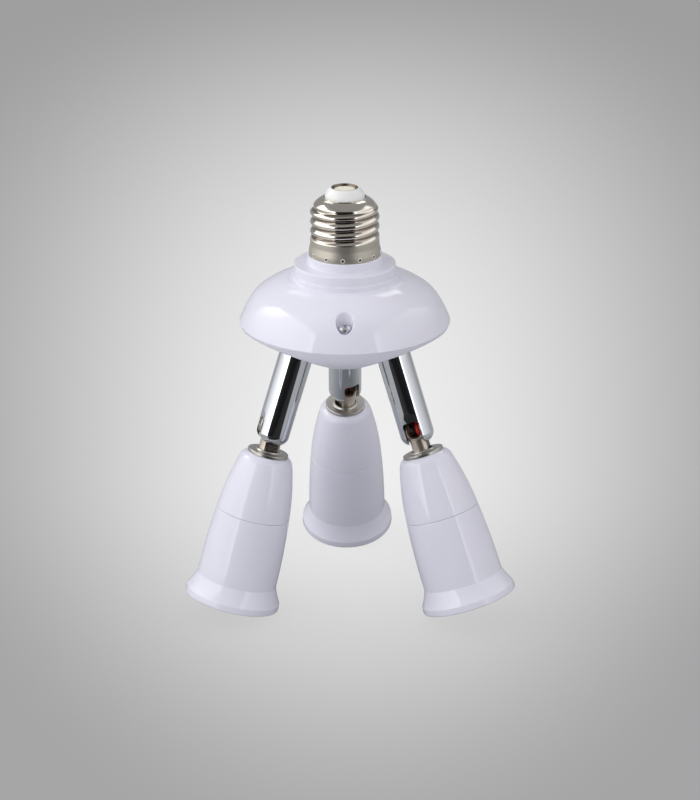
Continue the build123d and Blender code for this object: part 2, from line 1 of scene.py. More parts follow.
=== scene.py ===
"""Looks of a three-way lamp socket adapter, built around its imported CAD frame.

Sizes in the classes are in millimetres, in the CAD's own frame, with angles in degrees. A mesh becomes
metres when its piece is made, and every finished piece sits at the origin with its place in its mesh.
The stage is in metres.
"""

from __future__ import annotations

import json
import logging
import math
from dataclasses import dataclass, field
from enum import Enum
from typing import Any, ClassVar, Sequence

import bmesh
import bpy
import numpy as np
from mathutils import Euler, Matrix, Vector
from mathutils.geometry import delaunay_2d_cdt

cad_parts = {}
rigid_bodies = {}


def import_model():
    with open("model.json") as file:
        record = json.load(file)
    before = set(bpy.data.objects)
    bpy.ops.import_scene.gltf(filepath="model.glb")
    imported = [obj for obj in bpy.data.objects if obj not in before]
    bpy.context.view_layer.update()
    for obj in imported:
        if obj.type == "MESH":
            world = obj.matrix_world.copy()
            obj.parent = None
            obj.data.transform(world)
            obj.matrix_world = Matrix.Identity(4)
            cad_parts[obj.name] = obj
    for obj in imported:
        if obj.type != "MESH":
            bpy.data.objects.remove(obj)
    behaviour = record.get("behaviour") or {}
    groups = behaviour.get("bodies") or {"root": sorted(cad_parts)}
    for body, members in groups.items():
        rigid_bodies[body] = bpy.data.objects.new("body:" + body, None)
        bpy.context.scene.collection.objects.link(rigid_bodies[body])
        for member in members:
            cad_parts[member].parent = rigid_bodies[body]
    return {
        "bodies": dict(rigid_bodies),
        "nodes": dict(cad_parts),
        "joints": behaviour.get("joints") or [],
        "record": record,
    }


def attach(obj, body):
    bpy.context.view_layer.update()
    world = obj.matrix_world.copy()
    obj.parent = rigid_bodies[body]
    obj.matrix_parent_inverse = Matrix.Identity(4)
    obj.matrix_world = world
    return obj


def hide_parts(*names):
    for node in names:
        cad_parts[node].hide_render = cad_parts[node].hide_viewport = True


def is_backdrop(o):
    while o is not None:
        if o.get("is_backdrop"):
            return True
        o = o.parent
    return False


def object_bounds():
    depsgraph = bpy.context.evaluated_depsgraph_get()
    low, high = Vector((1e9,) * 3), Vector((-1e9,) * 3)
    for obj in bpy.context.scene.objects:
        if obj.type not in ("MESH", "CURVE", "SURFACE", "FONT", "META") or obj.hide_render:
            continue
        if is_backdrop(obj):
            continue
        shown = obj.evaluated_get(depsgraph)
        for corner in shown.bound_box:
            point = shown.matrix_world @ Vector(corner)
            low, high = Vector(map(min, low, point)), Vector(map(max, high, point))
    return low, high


LOG = logging.getLogger("socket_adapter")
MM = 0.001
FULL_TURN = 2 * math.pi
QUARTER = math.pi / 2
# Turns an outline drawn across a slot and up its tube so that it is drawn out of the slot
OUTWARDS = Matrix(((0, 0, 1, 0), (1, 0, 0, 0), (0, 1, 0, 0), (0, 0, 0, 1)))

Point = tuple[float, float]
Corner = tuple[float, float, float]
Mesh = bpy.types.Mesh
Material = bpy.types.Material
NodeTree = bpy.types.NodeTree


class Side(Enum):
    """The three arms, named as the photo shows them."""

    LEFT = "left"
    MIDDLE = "middle"
    RIGHT = "right"


class Shaping(Enum):
    """What a second mesh does to the one that is worked on."""

    JOIN = "UNION"
    CUT = "DIFFERENCE"


class Ray(Enum):
    """Kinds of ray that a stage plane can be hidden from."""

    CAMERA = "camera"
    DIFFUSE = "diffuse"
    SHADOW = "shadow"


class Slot(Enum):
    """The record's material slots, named beside the pieces in their tables."""

    PLASTIC = "white_plastic"
    INSULATOR = "white_insulator"
    CAP = "nickel_cap"
    STUD = "nickel_stud"
    SHELL = "nickel_shell"
    CHROME = "chrome_tube"
    ZINC = "zinc_steel"
    BRASS = "brass"
    FIBRE = "fibre_board"
    RED_WIRE = "red_wire"
    BLACK_WIRE = "black_wire"


# Shader and node helpers


def linear(code: str) -> tuple[float, ...]:
    """Turns an sRGB hex colour, six digits after a hash, to linear light with a full alpha."""
    parts = [int(code[i : i + 2], 16) / 255 for i in (1, 3, 5)]
    return *(c / 12.92 if c <= 0.04045 else ((c + 0.055) / 1.055) ** 2.4 for c in parts), 1.0


def per_mm(size: float) -> float:
    """Scale of a pattern, in repeats per metre, whose features are a size in millimetres."""
    return 1 / (size * MM)


def connect(node: Any, links: dict[Any, Any]) -> None:
    """Sets a node's inputs.

    Args:
        node: The node.
        links: Input name or number to a value, to an output socket, or to a node, whose first
            output in use feeds it.
    """
    for name, value in links.items():
        if isinstance(value, bpy.types.Node):
            value = next(socket for socket in value.outputs if socket.enabled)
        if isinstance(value, bpy.types.NodeSocket):
            node.id_data.links.new(value, node.inputs[name])
        else:
            node.inputs[name].default_value = value


def add_node(tree: NodeTree, kind: str, links: dict[Any, Any] | None = None, **settings: Any) -> Any:
    """Adds one node with its settings and inputs.

    Args:
        tree: The tree that gets the node.
        kind: Blender's name of the node type.
        links: Its inputs, as connect takes them.
        **settings: The node's own properties.

    Returns:
        The new node.
    """
    node = tree.nodes.new(kind)
    for name, value in settings.items():
        setattr(node, name, value)
    connect(node, links or {})
    return node


def new_material(name: str, bare: bool = False) -> tuple[Material, NodeTree]:
    """Makes a material with its nodes.

    Args:
        name: Name of the material.
        bare: True to leave only the output, without the default shader.

    Returns:
        The material and its node tree.
    """
    material = bpy.data.materials.new(name)
    material.use_nodes = True
    tree = material.node_tree
    if bare:
        tree.nodes.remove(tree.nodes["Principled BSDF"])
    return material, tree


@dataclass(frozen=True)
class Grain:
    """A fine bump or a slow change over a surface.

    Attributes:
        size: Width of one feature in millimetres.
        amount: Height of the bump in millimetres, or the swing of a value.
    """

    size: float
    amount: float


@dataclass(frozen=True)
class Finish:
    """One real material and how its surface was made.

    Attributes:
        name: Common name of the material and of its surface.
        colour: Main colour as sRGB hex.
        second: Colour of its soft patches as sRGB hex.
        metallic: One for bare or plated metal.
        roughness: Lowest roughness.
        ior: Refraction index of a moulded surface.
        bump: Grain of the surface.
        cloud: Slow change of colour and roughness.
    """

    name: str
    colour: str
    second: str
    metallic: float
    roughness: float
    ior: float = 1.5
    bump: Grain = Grain(0.6, 0.004)
    cloud: Grain = Grain(14.0, 0.06)

    def make(self) -> Material:
        """Builds the material from nodes that read Object coordinates.

        Returns:
            The new material.
        """
        material, tree = new_material(self.name)
        place = add_node(tree, "ShaderNodeTexCoord").outputs["Object"]
        patches, grain = [
            add_node(tree, "ShaderNodeTexNoise", {"Vector": place, "Scale": per_mm(size), "Detail": detail})
            for size, detail in ((self.cloud.size, 3.0), (self.bump.size, 4.0))
        ]
        mix = {"Factor": patches, "A": linear(self.colour), "B": linear(self.second)}
        tint = add_node(tree, "ShaderNodeMix", mix, data_type="RGBA")
        swing = {"Value": patches, "To Min": self.roughness, "To Max": self.roughness + self.cloud.amount}
        gloss = add_node(tree, "ShaderNodeMapRange", swing)
        colour, rough = self.zones(tree, place, tint, gloss)
        height = {"Height": grain, "Strength": 1.0, "Distance": self.bump.amount * MM}
        bump = add_node(tree, "ShaderNodeBump", height)
        feeds = {"Base Color": colour, "Roughness": rough, "Normal": bump, "Metallic": self.metallic}
        if self.metallic < 1:
            feeds["IOR"] = self.ior
        connect(tree.nodes["Principled BSDF"], feeds)
        return material

    def zones(self, tree: NodeTree, place: Any, colour: Any, rough: Any) -> tuple[Any, Any]:
        """Colour and roughness of the whole surface, which a finish with zones changes.

        Args:
            tree: The material's nodes.
            place: Object coordinates.
            colour: Node of the main colour.
            rough: Node of the main roughness.

        Returns:
            The nodes that feed the shader.
        """
        return colour, rough


@dataclass(frozen=True)
class ZonedMetal(Finish):
    """Plated metal that is bright above a height, satin below it and darkened in its grooves by painted
    shade.

    Attributes:
        zone_z: Height of the change in millimetres.
        zone_h: Height over which it changes.
        satin: Roughness below the change.
        satin_colour: Colour below the change.
        groove_r: Radius from which the painted shade of the grooves darkens inwards.
        groove_h: Depth over which they do.
        groove_shade_colour: Painted shade colour in the grooves.
        shoulder_z: Height above which no groove shade is painted.
    """

    zone_z: float = 5.4
    zone_h: float = 0.7
    satin: float = 0.5
    satin_colour: str = "#cbc5b9"
    groove_r: float = 12.75
    groove_h: float = 0.6
    groove_shade_colour: str = "#a0968a"
    shoulder_z: float = 17.2

    def zones(self, tree: NodeTree, place: Any, colour: Any, rough: Any) -> tuple[Any, Any]:
        """Mixes the satin and the painted shade of the grooves over the bright metal.

        Args:
            tree: The material's nodes.
            place: Object coordinates.
            colour: Colour of the bright metal.
            rough: Roughness of the bright metal.

        Returns:
            The colour and the roughness to use.
        """
        axes = add_node(tree, "ShaderNodeSeparateXYZ", {"Vector": place}).outputs
        flat = add_node(tree, "ShaderNodeCombineXYZ", {"X": axes["X"], "Y": axes["Y"]})
        radius = add_node(tree, "ShaderNodeVectorMath", {0: flat}, operation="LENGTH")
        spans = ((axes["Z"], self.zone_z, self.zone_h), (radius, self.groove_r, self.groove_h))
        bright, crest = [
            add_node(
                tree,
                "ShaderNodeMapRange",
                {"Value": value, "From Min": (high - width) * MM, "From Max": high * MM},
                interpolation_type="SMOOTHSTEP",
            )
            for value, high, width in spans
        ]
        above = {0: axes["Z"], 1: self.shoulder_z * MM}
        shoulder = add_node(tree, "ShaderNodeMath", above, operation="GREATER_THAN")
        unshaded = add_node(tree, "ShaderNodeMath", {0: crest, 1: shoulder}, operation="MAXIMUM")
        # Painted shade: the thread's roots take a darker colour below the shoulder
        groove_shade_mix = {"Factor": unshaded, "A": linear(self.groove_shade_colour), "B": colour}
        groove = add_node(tree, "ShaderNodeMix", groove_shade_mix, data_type="RGBA")
        skirt = {"Factor": bright, "A": linear(self.satin_colour), "B": groove}
        tint = add_node(tree, "ShaderNodeMix", skirt, data_type="RGBA")
        return tint, add_node(tree, "ShaderNodeMix", {"Factor": bright, "A": self.satin, "B": rough})


@dataclass(frozen=True)
class MilledMetal(Finish):
    """Plated metal with milled flats, which a mark on their faces makes dull and dark with painted shade.

    Attributes:
        milled: Roughness of the flats.
        flat_shade_colour: Painted shade colour of the flats as sRGB hex.
        cutter: Width of the cutter's tracks in millimetres.
        track: Noise levels between which the cutter's tracks thin the painted shade.
        shade_left: Share of the painted shade left on the tracks.
    """

    mark: ClassVar[str] = "milled"
    milled: float = 0.42
    flat_shade_colour: str = "#5d574f"
    cutter: float = 0.5
    track: Point = (0.4, 0.7)
    shade_left: float = 0.55

    def zones(self, tree: NodeTree, place: Any, colour: Any, rough: Any) -> tuple[Any, Any]:
        """Mixes the painted shade of the flats, broken by the cutter's tracks, over the bright metal.

        Args:
            tree: The material's nodes.
            place: Object coordinates.
            colour: Colour of the bright metal.
            rough: Roughness of the bright metal.

        Returns:
            The colour and the roughness to use.
        """
        flat = add_node(tree, "ShaderNodeAttribute", attribute_name=self.mark).outputs["Fac"]
        noise = {"Vector": place, "Scale": per_mm(self.cutter), "Detail": 1.0}
        tracks = add_node(tree, "ShaderNodeTexNoise", noise)
        low, high = self.track
        fade = {"Value": tracks, "From Min": low, "From Max": high, "To Min": 1.0, "To Max": self.shade_left}
        left = add_node(tree, "ShaderNodeMapRange", fade)
        # Painted shade on the flats, thinned along the cutter's tracks
        share = add_node(tree, "ShaderNodeMath", {0: flat, 1: left}, operation="MULTIPLY")
        dark = {"Factor": share, "A": colour, "B": linear(self.flat_shade_colour)}
        tint = add_node(tree, "ShaderNodeMix", dark, data_type="RGBA")
        return tint, add_node(tree, "ShaderNodeMix", {"Factor": flat, "A": rough, "B": self.milled})


# Moulded ABS: even, slightly violet white with a soft gloss and the faint ripple of a mould
PLASTIC = Finish(
    "moulded_white_abs", "#ebeaf5", "#e8e7f3", 0.0, 0.07, 1.53, Grain(1.6, 0.001), Grain(22, 0.03)
)
# Glazed filler of the cap: plain white, harder and less glossy than the housing
GLAZE = Finish("white_cap_insulator", "#f6f6f4", "#eeeeec", 0.0, 0.3, bump=Grain(0.7, 0.004))
# Nickel on brass, rolled into the thread: bright and warm, satin on the skirt, with painted shade in the
# thread's grooves
CAP_NICKEL = ZonedMetal(
    "nickel_plated_brass", "#e6e0d5", "#dcd5c9", 1.0, 0.12, bump=Grain(0.8, 0.004), cloud=Grain(9, 0.06)
)
# Floor disc of the centre contact: painted light, the lit copy of its metal as a pale cream disc
CONTACT_FLOOR_LIT = Finish("contact_floor_painted_light", "#fdf8e8", "#f6f0de", 0.1, 0.45, bump=Grain(0.5, 0.006))
# Wall of that dish: painted shade, the shaded copy of the same metal, brown and dull
CONTACT_WALL_SHADE = Finish("contact_wall_painted_shade", "#8a8073", "#776e62", 1.0, 0.34, bump=Grain(0.5, 0.006))
# Nickel on drawn sheet, inside the holders: bright and smooth
SHELL_NICKEL = Finish("nickel_plated_sheet", "#d6cfc3", "#cac2b5", 1.0, 0.2, bump=Grain(0.6, 0.003))
# Burr round each crimp mark: raised nickel, painted pale as a highlight
CRIMP_RIM = Finish("punched_nickel_painted_highlight", "#f6f2ea", "#ebe6dc", 0.45, 0.3, bump=Grain(0.3, 0.004))
# Pits of the crimp marks: flat black discs, painted shade of the punched hollows
CRIMP_PIT_SHADE = Finish("crimp_pit", "#1c1916", "#141210", 0.2, 0.6)
# Turned and barrel-plated studs: duller and warmer than the cap, with painted shade on their milled flats
STUD_NICKEL = MilledMetal(
    "barrel_plated_nickel", "#e4dacb", "#d0c6b8", 1.0, 0.32, bump=Grain(0.45, 0.012), cloud=Grain(3, 0.14)
)
# Punched and tumbled washers: a neutral satin, whose broken edge catches the light
WASHER_NICKEL = Finish(
    "tumbled_nickel_washer", "#cfccc6", "#b7b4ae", 1.0, 0.26, bump=Grain(0.4, 0.014), cloud=Grain(1.6, 0.14)
)
# Polished chrome on drawn tube: a mirror with almost no haze
CHROME = Finish(
    "polished_chrome", "#e3e6ea", "#dde0e5", 1.0, 0.035, bump=Grain(4, 0.0012), cloud=Grain(12, 0.03)
)
# Zinc plate on screws and nuts: pale and cool, with a soft blotchy shine
ZINC = Finish(
    "zinc_plated_steel", "#f3f5f6", "#dfe2e4", 1.0, 0.3, bump=Grain(0.4, 0.006), cloud=Grain(2, 0.12)
)
# Oiled spring steel: dark, with a dull sheen
SPRING = Finish("oiled_spring_steel", "#5f6266", "#4a4d52", 1.0, 0.34)
# Rolled brass: warm yellow, uneven where it was handled
BRASS = Finish("rolled_brass", "#cfa75a", "#b98f48", 1.0, 0.26, bump=Grain(0.5, 0.005), cloud=Grain(3, 0.12))
# Pressed fibre: matt, pale and faintly rough
FIBRE = Finish("pressed_fibre_board", "#d9d3c4", "#cbc4b3", 0.0, 0.6, bump=Grain(0.35, 0.03))
# Moulded nylon: milky, or dull black, with half a gloss
NYLON = Finish("natural_nylon", "#dcdcd6", "#cfcfc8", 0.0, 0.42)
BLACK_NYLON = Finish("black_nylon", "#17171a", "#101013", 0.0, 0.45)
# Extruded PVC on the wires: smooth, even colour with a soft shine
RED_PVC = Finish("red_pvc_insulation", "#c3201b", "#b01713", 0.0, 0.38)
BLACK_PVC = Finish("black_pvc_insulation", "#1a1a1b", "#121213", 0.0, 0.2)
WHITE_PVC = Finish("white_pvc_insulation", "#dedcd8", "#d2d0cb", 0.0, 0.4)


# Profiles and meshes in millimetres


def angles(count: int) -> np.ndarray:
    """Even steps round a full turn, in radians."""
    return np.linspace(0, FULL_TURN, count, endpoint=False)


def ease(x: np.ndarray) -> np.ndarray:
    """Smooth step that goes from zero to one as x does."""
    x = np.clip(x, 0, 1)
    return x * x * (3 - 2 * x)


def sweep(centre: Point, radius: float, first: float, last: float, count: int) -> list[Point]:
    """A count of points on a circle, from one angle to another in radians."""
    (x, y), spans = centre, np.linspace(first, last, count)
    return [(x + radius * math.cos(a), y + radius * math.sin(a)) for a in spans]


def circle(radius: float, count: int, centre: Vector = Vector((0, 0)), first: float = 0.0) -> list[Vector]:
    """A count of points evenly round a centre, from a first angle in degrees."""
    around = angles(count) + math.radians(first)
    return [centre + Vector((math.cos(a), math.sin(a))) * radius for a in around]


def rounded(corners: Sequence[Corner], steps: int = 6) -> list[Point]:
    """Open profile through corners, each rounded by its own radius.

    Args:
        corners: Radius, height and corner radius of each point.
        steps: Spans on each rounded corner.

    Returns:
        Points of the profile.
    """
    path: list[Point] = []
    for i, (r, z, size) in enumerate(corners):
        if size <= 0 or i in (0, len(corners) - 1):
            path.append((r, z))
            continue
        here = Vector((r, z))
        back = Vector(corners[i - 1][:2]) - here
        ahead = Vector(corners[i + 1][:2]) - here
        half = back.angle(ahead) / 2
        reach = min(size / math.tan(half), 0.49 * back.length, 0.49 * ahead.length)
        back.normalize()
        ahead.normalize()
        centre = here + (back + ahead).normalized() * (reach / math.cos(half))
        first, last = here + back * reach - centre, here + ahead * reach - centre
        for k in range(steps + 1):
            spoke = first.slerp(last, k / steps).normalized() * first.length
            path.append(tuple(centre + spoke))
    return path


def arc(start: Point, middle: Point, end: Point, steps: int = 24) -> list[Point]:
    """Points on the circle through three points, from the first to the last.

    Args:
        start: First point.
        middle: A point on the way.
        end: Last point.
        steps: Number of spans.

    Returns:
        Points on the arc.
    """
    (ax, ay), (bx, by), (cx, cy) = start, middle, end
    d = 2 * (ax * (by - cy) + bx * (cy - ay) + cx * (ay - by))
    a2, b2, c2 = ax * ax + ay * ay, bx * bx + by * by, cx * cx + cy * cy
    ox = (a2 * (by - cy) + b2 * (cy - ay) + c2 * (ay - by)) / d
    oy = (a2 * (cx - bx) + b2 * (ax - cx) + c2 * (bx - ax)) / d
    first = math.atan2(ay - oy, ax - ox)
    turn = (math.atan2(cy - oy, cx - ox) - first + math.pi) % FULL_TURN - math.pi
    return sweep((ox, oy), math.hypot(ax - ox, ay - oy), first, first + turn, steps + 1)


def bent(start: Point, control: Point, end: Point, steps: int = 14) -> list[Point]:
    """Draws a soft bend between two points.

    Args:
        start: First point.
        control: Point that draws the bend out.
        end: Last point.
        steps: Number of steps along it.

    Returns:
        Points on the bend, both ends included.
    """
    a, b, c = np.array([start, control, end])
    t = np.linspace(0, 1, steps + 1)[:, None]
    return [tuple(p) for p in (1 - t) ** 2 * a + 2 * t * (1 - t) * b + t * t * c]


def closed(mesh: Mesh) -> Mesh:
    """Merges the doubles of a mesh and turns its faces outwards.

    Args:
        mesh: The mesh, which is changed in place.

    Returns:
        The same mesh.
    """
    work = bmesh.new()
    work.from_mesh(mesh)
    bmesh.ops.remove_doubles(work, verts=work.verts, dist=1e-4)
    bmesh.ops.dissolve_degenerate(work, edges=work.edges, dist=1e-5)
    bmesh.ops.recalc_face_normals(work, faces=work.faces)
    work.to_mesh(mesh)
    work.free()
    return mesh


@dataclass
class Draft:
    """A mesh in the making, in millimetres. Each method that adds to it returns it.

    Attributes:
        points: Vertices.
        faces: Vertex numbers of each face.
    """

    points: list[Sequence[float]] = field(default_factory=list)
    faces: list[Sequence[int]] = field(default_factory=list)

    def grid(self, rows: np.ndarray, loop: bool = False) -> Draft:
        """Adds a grid whose columns close on themselves.

        Args:
            rows: Points as rows by columns by three.
            loop: True if the last row joins the first.

        Returns:
            This draft.
        """
        count, columns = rows.shape[:2]
        here = np.arange(count * columns).reshape(count, columns) + len(self.points)
        there = np.roll(here, -1, axis=0)
        quads = np.stack([here, np.roll(here, -1, axis=1), np.roll(there, -1, axis=1), there], axis=2)
        self.points += rows.reshape(-1, 3).tolist()
        self.faces += quads[: count if loop else count - 1].reshape(-1, 4).tolist()
        return self

    def turned(self, r: np.ndarray, z: np.ndarray, turns: int, loop: bool = False) -> Draft:
        """Adds a grid turned about Z.

        Args:
            r: Radii, in one column or in one for each step round the axis.
            z: Heights, likewise.
            turns: Steps round the axis.
            loop: True if the profile closes on itself.

        Returns:
            This draft.
        """
        around = angles(turns)
        rows = np.broadcast_arrays(r * np.cos(around), r * np.sin(around), z)
        return self.grid(np.stack(rows, axis=2), loop)

    def lathe(self, path: Sequence[Point], turns: int, loop: bool = False) -> Draft:
        """Adds a profile of radii and heights turned about Z."""
        r, z = np.array(path, float).T[..., None]
        return self.turned(r, z, turns, loop)

    def prism(
        self, outline: Sequence[Point], low: float, high: float, turn: Matrix, grow: float = 1.0
    ) -> Draft:
        """Adds an outline drawn up from one height to another.

        Args:
            outline: Points of the outline.
            low: Lower height.
            high: Upper height.
            turn: Where the prism's own frame goes.
            grow: Size of the upper outline next to the lower one.

        Returns:
            This draft.
        """
        start, count = len(self.points), len(outline)
        for z, size in ((low, 1.0), (high, grow)):
            self.points += [tuple(turn @ Vector((x * size, y * size, z))) for x, y in outline]
        self.faces.append([start + k for k in reversed(range(count))])
        self.faces.append([start + count + k for k in range(count)])
        for k in range(count):
            m = (k + 1) % count
            self.faces.append([start + k, start + m, start + count + m, start + count + k])
        return self

    def mesh(self, name: str) -> Mesh:
        """Makes the mesh, with its doubles merged and its faces turned outwards.

        Args:
            name: Name of the mesh.

        Returns:
            The mesh, still in millimetres.
        """
        made = bpy.data.meshes.new(name)
        made.from_pydata(self.points, [], self.faces)
        return closed(made)


def temporary(data: Any, name: str) -> bpy.types.Object:
    """Links an object to the scene.

    Args:
        data: Its mesh, curve, lamp or camera.
        name: Name of the object.

    Returns:
        The new object.
    """
    obj = bpy.data.objects.new(name, data)
    bpy.context.scene.collection.objects.link(obj)
    return obj


def evaluated(obj: bpy.types.Object, name: str) -> Mesh:
    """Turns an object with live modifiers into a plain mesh, and removes the object.

    Args:
        obj: The object.
        name: Name of the mesh.

    Returns:
        The plain mesh.
    """
    bpy.context.view_layer.update()
    made = bpy.data.meshes.new_from_object(obj.evaluated_get(bpy.context.evaluated_depsgraph_get()))
    made.name = name
    bpy.data.objects.remove(obj)
    return made


def cord(points: Sequence[Corner], radius: float, name: str) -> Mesh:
    """Round cord with closed ends.

    Args:
        points: Control points of its smooth line.
        radius: Radius of the cord.
        name: Name of the mesh.

    Returns:
        The mesh in the points' own units.
    """
    curve = bpy.data.curves.new(name, "CURVE")
    curve.dimensions = "3D"
    curve.bevel_depth, curve.bevel_resolution = radius, 5
    curve.use_fill_caps = True
    line = curve.splines.new("NURBS")
    line.points.add(len(points) - 1)
    for knot, point in zip(line.points, points):
        knot.co = (*point, 1.0)
    line.order_u = 3
    line.use_endpoint_u = True
    line.resolution_u = 6
    return closed(evaluated(temporary(curve, name), name))


def carve(mesh: Mesh, steps: Sequence[tuple[Shaping, Mesh]], bevel: float = 0.0) -> Mesh:
    """Joins or cuts one mesh with others, and breaks its sharp edges.

    Args:
        mesh: Mesh to work on.
        steps: What to do and the other mesh, in order.
        bevel: Width of the broken edges, or none.

    Returns:
        The new mesh.
    """
    work = temporary(mesh, "work")
    tools = [temporary(other, other.name) for _, other in steps]
    for (shaping, _), tool in zip(steps, tools):
        modifier = work.modifiers.new(tool.name, "BOOLEAN")
        modifier.operation = shaping.value
        modifier.solver = "EXACT"
        modifier.object = tool
    if bevel:
        edge = work.modifiers.new("edges", "BEVEL")
        edge.width = bevel
        edge.segments = 2
        edge.limit_method = "ANGLE"
        edge.angle_limit = math.radians(40)
        edge.use_clamp_overlap = True
    made = evaluated(work, mesh.name)
    for tool in tools:
        bpy.data.objects.remove(tool)
    return made


def ring_tree(material: Material) -> NodeTree:
    """Geometry Nodes that repeat a piece on a ring about Z.

    Args:
        material: Material of the repeated piece.

    Returns:
        The node group, with named inputs for its count, radius, height and first angle.
    """
    tree = bpy.data.node_groups.new("pieces_on_a_ring", "GeometryNodeTree")
    tree.interface.new_socket("Geometry", in_out="OUTPUT", socket_type="NodeSocketGeometry")
    for name, kind in (
        ("Geometry", "Geometry"),
        ("Count", "Int"),
        ("Radius", "Float"),
        ("Height", "Float"),
        ("First Angle", "Float"),
    ):
        tree.interface.new_socket(name, in_out="INPUT", socket_type=f"NodeSocket{kind}")
    given = add_node(tree, "NodeGroupInput").outputs
    step = add_node(tree, "ShaderNodeMath", {0: FULL_TURN, 1: given["Count"]}, operation="DIVIDE")
    turn = {0: add_node(tree, "GeometryNodeInputIndex"), 1: step, 2: given["First Angle"]}
    angle = add_node(tree, "ShaderNodeMath", turn, operation="MULTIPLY_ADD")
    waves = [add_node(tree, "ShaderNodeMath", {0: angle}, operation=wave) for wave in ("COSINE", "SINE")]
    x, y = [
        add_node(tree, "ShaderNodeMath", {0: wave, 1: given["Radius"]}, operation="MULTIPLY")
        for wave in waves
    ]
    spot = add_node(tree, "ShaderNodeCombineXYZ", {"X": x, "Y": y, "Z": given["Height"]})
    points = add_node(tree, "GeometryNodePoints", {"Count": given["Count"], "Position": spot})
    euler = add_node(tree, "ShaderNodeCombineXYZ", {"Z": angle})
    facing = add_node(tree, "FunctionNodeEulerToRotation", {"Euler": euler})
    spread = {"Points": points, "Instance": given["Geometry"], "Rotation": facing}
    copies = add_node(tree, "GeometryNodeInstanceOnPoints", spread)
    real = add_node(tree, "GeometryNodeRealizeInstances", {"Geometry": copies})
    dressed = add_node(tree, "GeometryNodeSetMaterial", {"Geometry": real, "Material": material})
    add_node(tree, "NodeGroupOutput", {"Geometry": dressed})
    return tree


def on_ring(mesh: Mesh, material: Material, count: int, radius: float, height: float, first: float) -> Mesh:
    """Repeats a mesh on a ring with Geometry Nodes.

    Args:
        mesh: One piece, with its own X pointing outwards.
        material: Its material.
        count: Number of copies.
        radius: Radius of the ring.
        height: Height of the ring.
        first: Angle of the first copy.

    Returns:
        One plain mesh of all copies.
    """
    work = temporary(mesh, "one_piece")
    modifier = work.modifiers.new("ring", "NODES")
    modifier.node_group = ring_tree(material)
    values = {"Count": count, "Radius": radius, "Height": height, "First Angle": math.radians(first)}
    for item in modifier.node_group.interface.items_tree:
        if item.in_out == "INPUT" and item.name in values:
            modifier[item.identifier] = values[item.name]
    return evaluated(work, mesh.name)


@dataclass
class Workshop:
    """Makes finished pieces and keeps count of them.

    Attributes:
        materials: Finish name to the material made from it.
        made: Names of the pieces in order.
    """

    frame: dict[str, Any]
    materials: dict[str, Material] = field(default_factory=dict)
    made: list[str] = field(default_factory=list)

    def material(self, finish: Finish) -> Material:
        """Builds a finish's material once and keeps it.

        Args:
            finish: The finish.

        Returns:
            Its material.
        """
        if finish.name not in self.materials:
            self.materials[finish.name] = finish.make()
        return self.materials[finish.name]

    def piece(
        self,
        name: str,
        mesh: Mesh,
        finish: Finish,
        body: str,
        stands_for: Sequence[str] = (),
        place: Matrix = Matrix.Identity(4),
        sharp: float = 30.0,
    ) -> None:
        """Makes one finished piece from a mesh in millimetres.

        Args:
            name: Name of the piece.
            mesh: Its mesh, in its own frame.
            finish: Its material.
            body: CAD body that it rides on.
            stands_for: CAD nodes that it replaces.
            place: Where its own frame goes, in millimetres.
            sharp: Angle from which an edge stays sharp.
        """
        mesh = mesh.copy()
        mesh.name = name
        mesh.transform(Matrix.Scale(MM, 4) @ place)
        mesh.shade_smooth()
        mesh.set_sharp_from_angle(angle=math.radians(sharp))
        mesh.materials.clear()
        mesh.materials.append(self.material(finish))
        obj = temporary(mesh, name)
        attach(obj, body)
        if stands_for:
            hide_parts(*stands_for)
        self.made.append(name)
        LOG.info("made %s with %d faces", name, len(mesh.polygons))

    def dress(self, node: str, finish: Finish) -> None:
        """Gives a CAD node that stays in view its real material.

        Args:
            node: Name of the node.
            finish: Its finish.
        """
        obj = self.frame["nodes"][node]
        obj.data.materials.clear()
        obj.data.materials.append(self.material(finish))


# Sub-assemblies


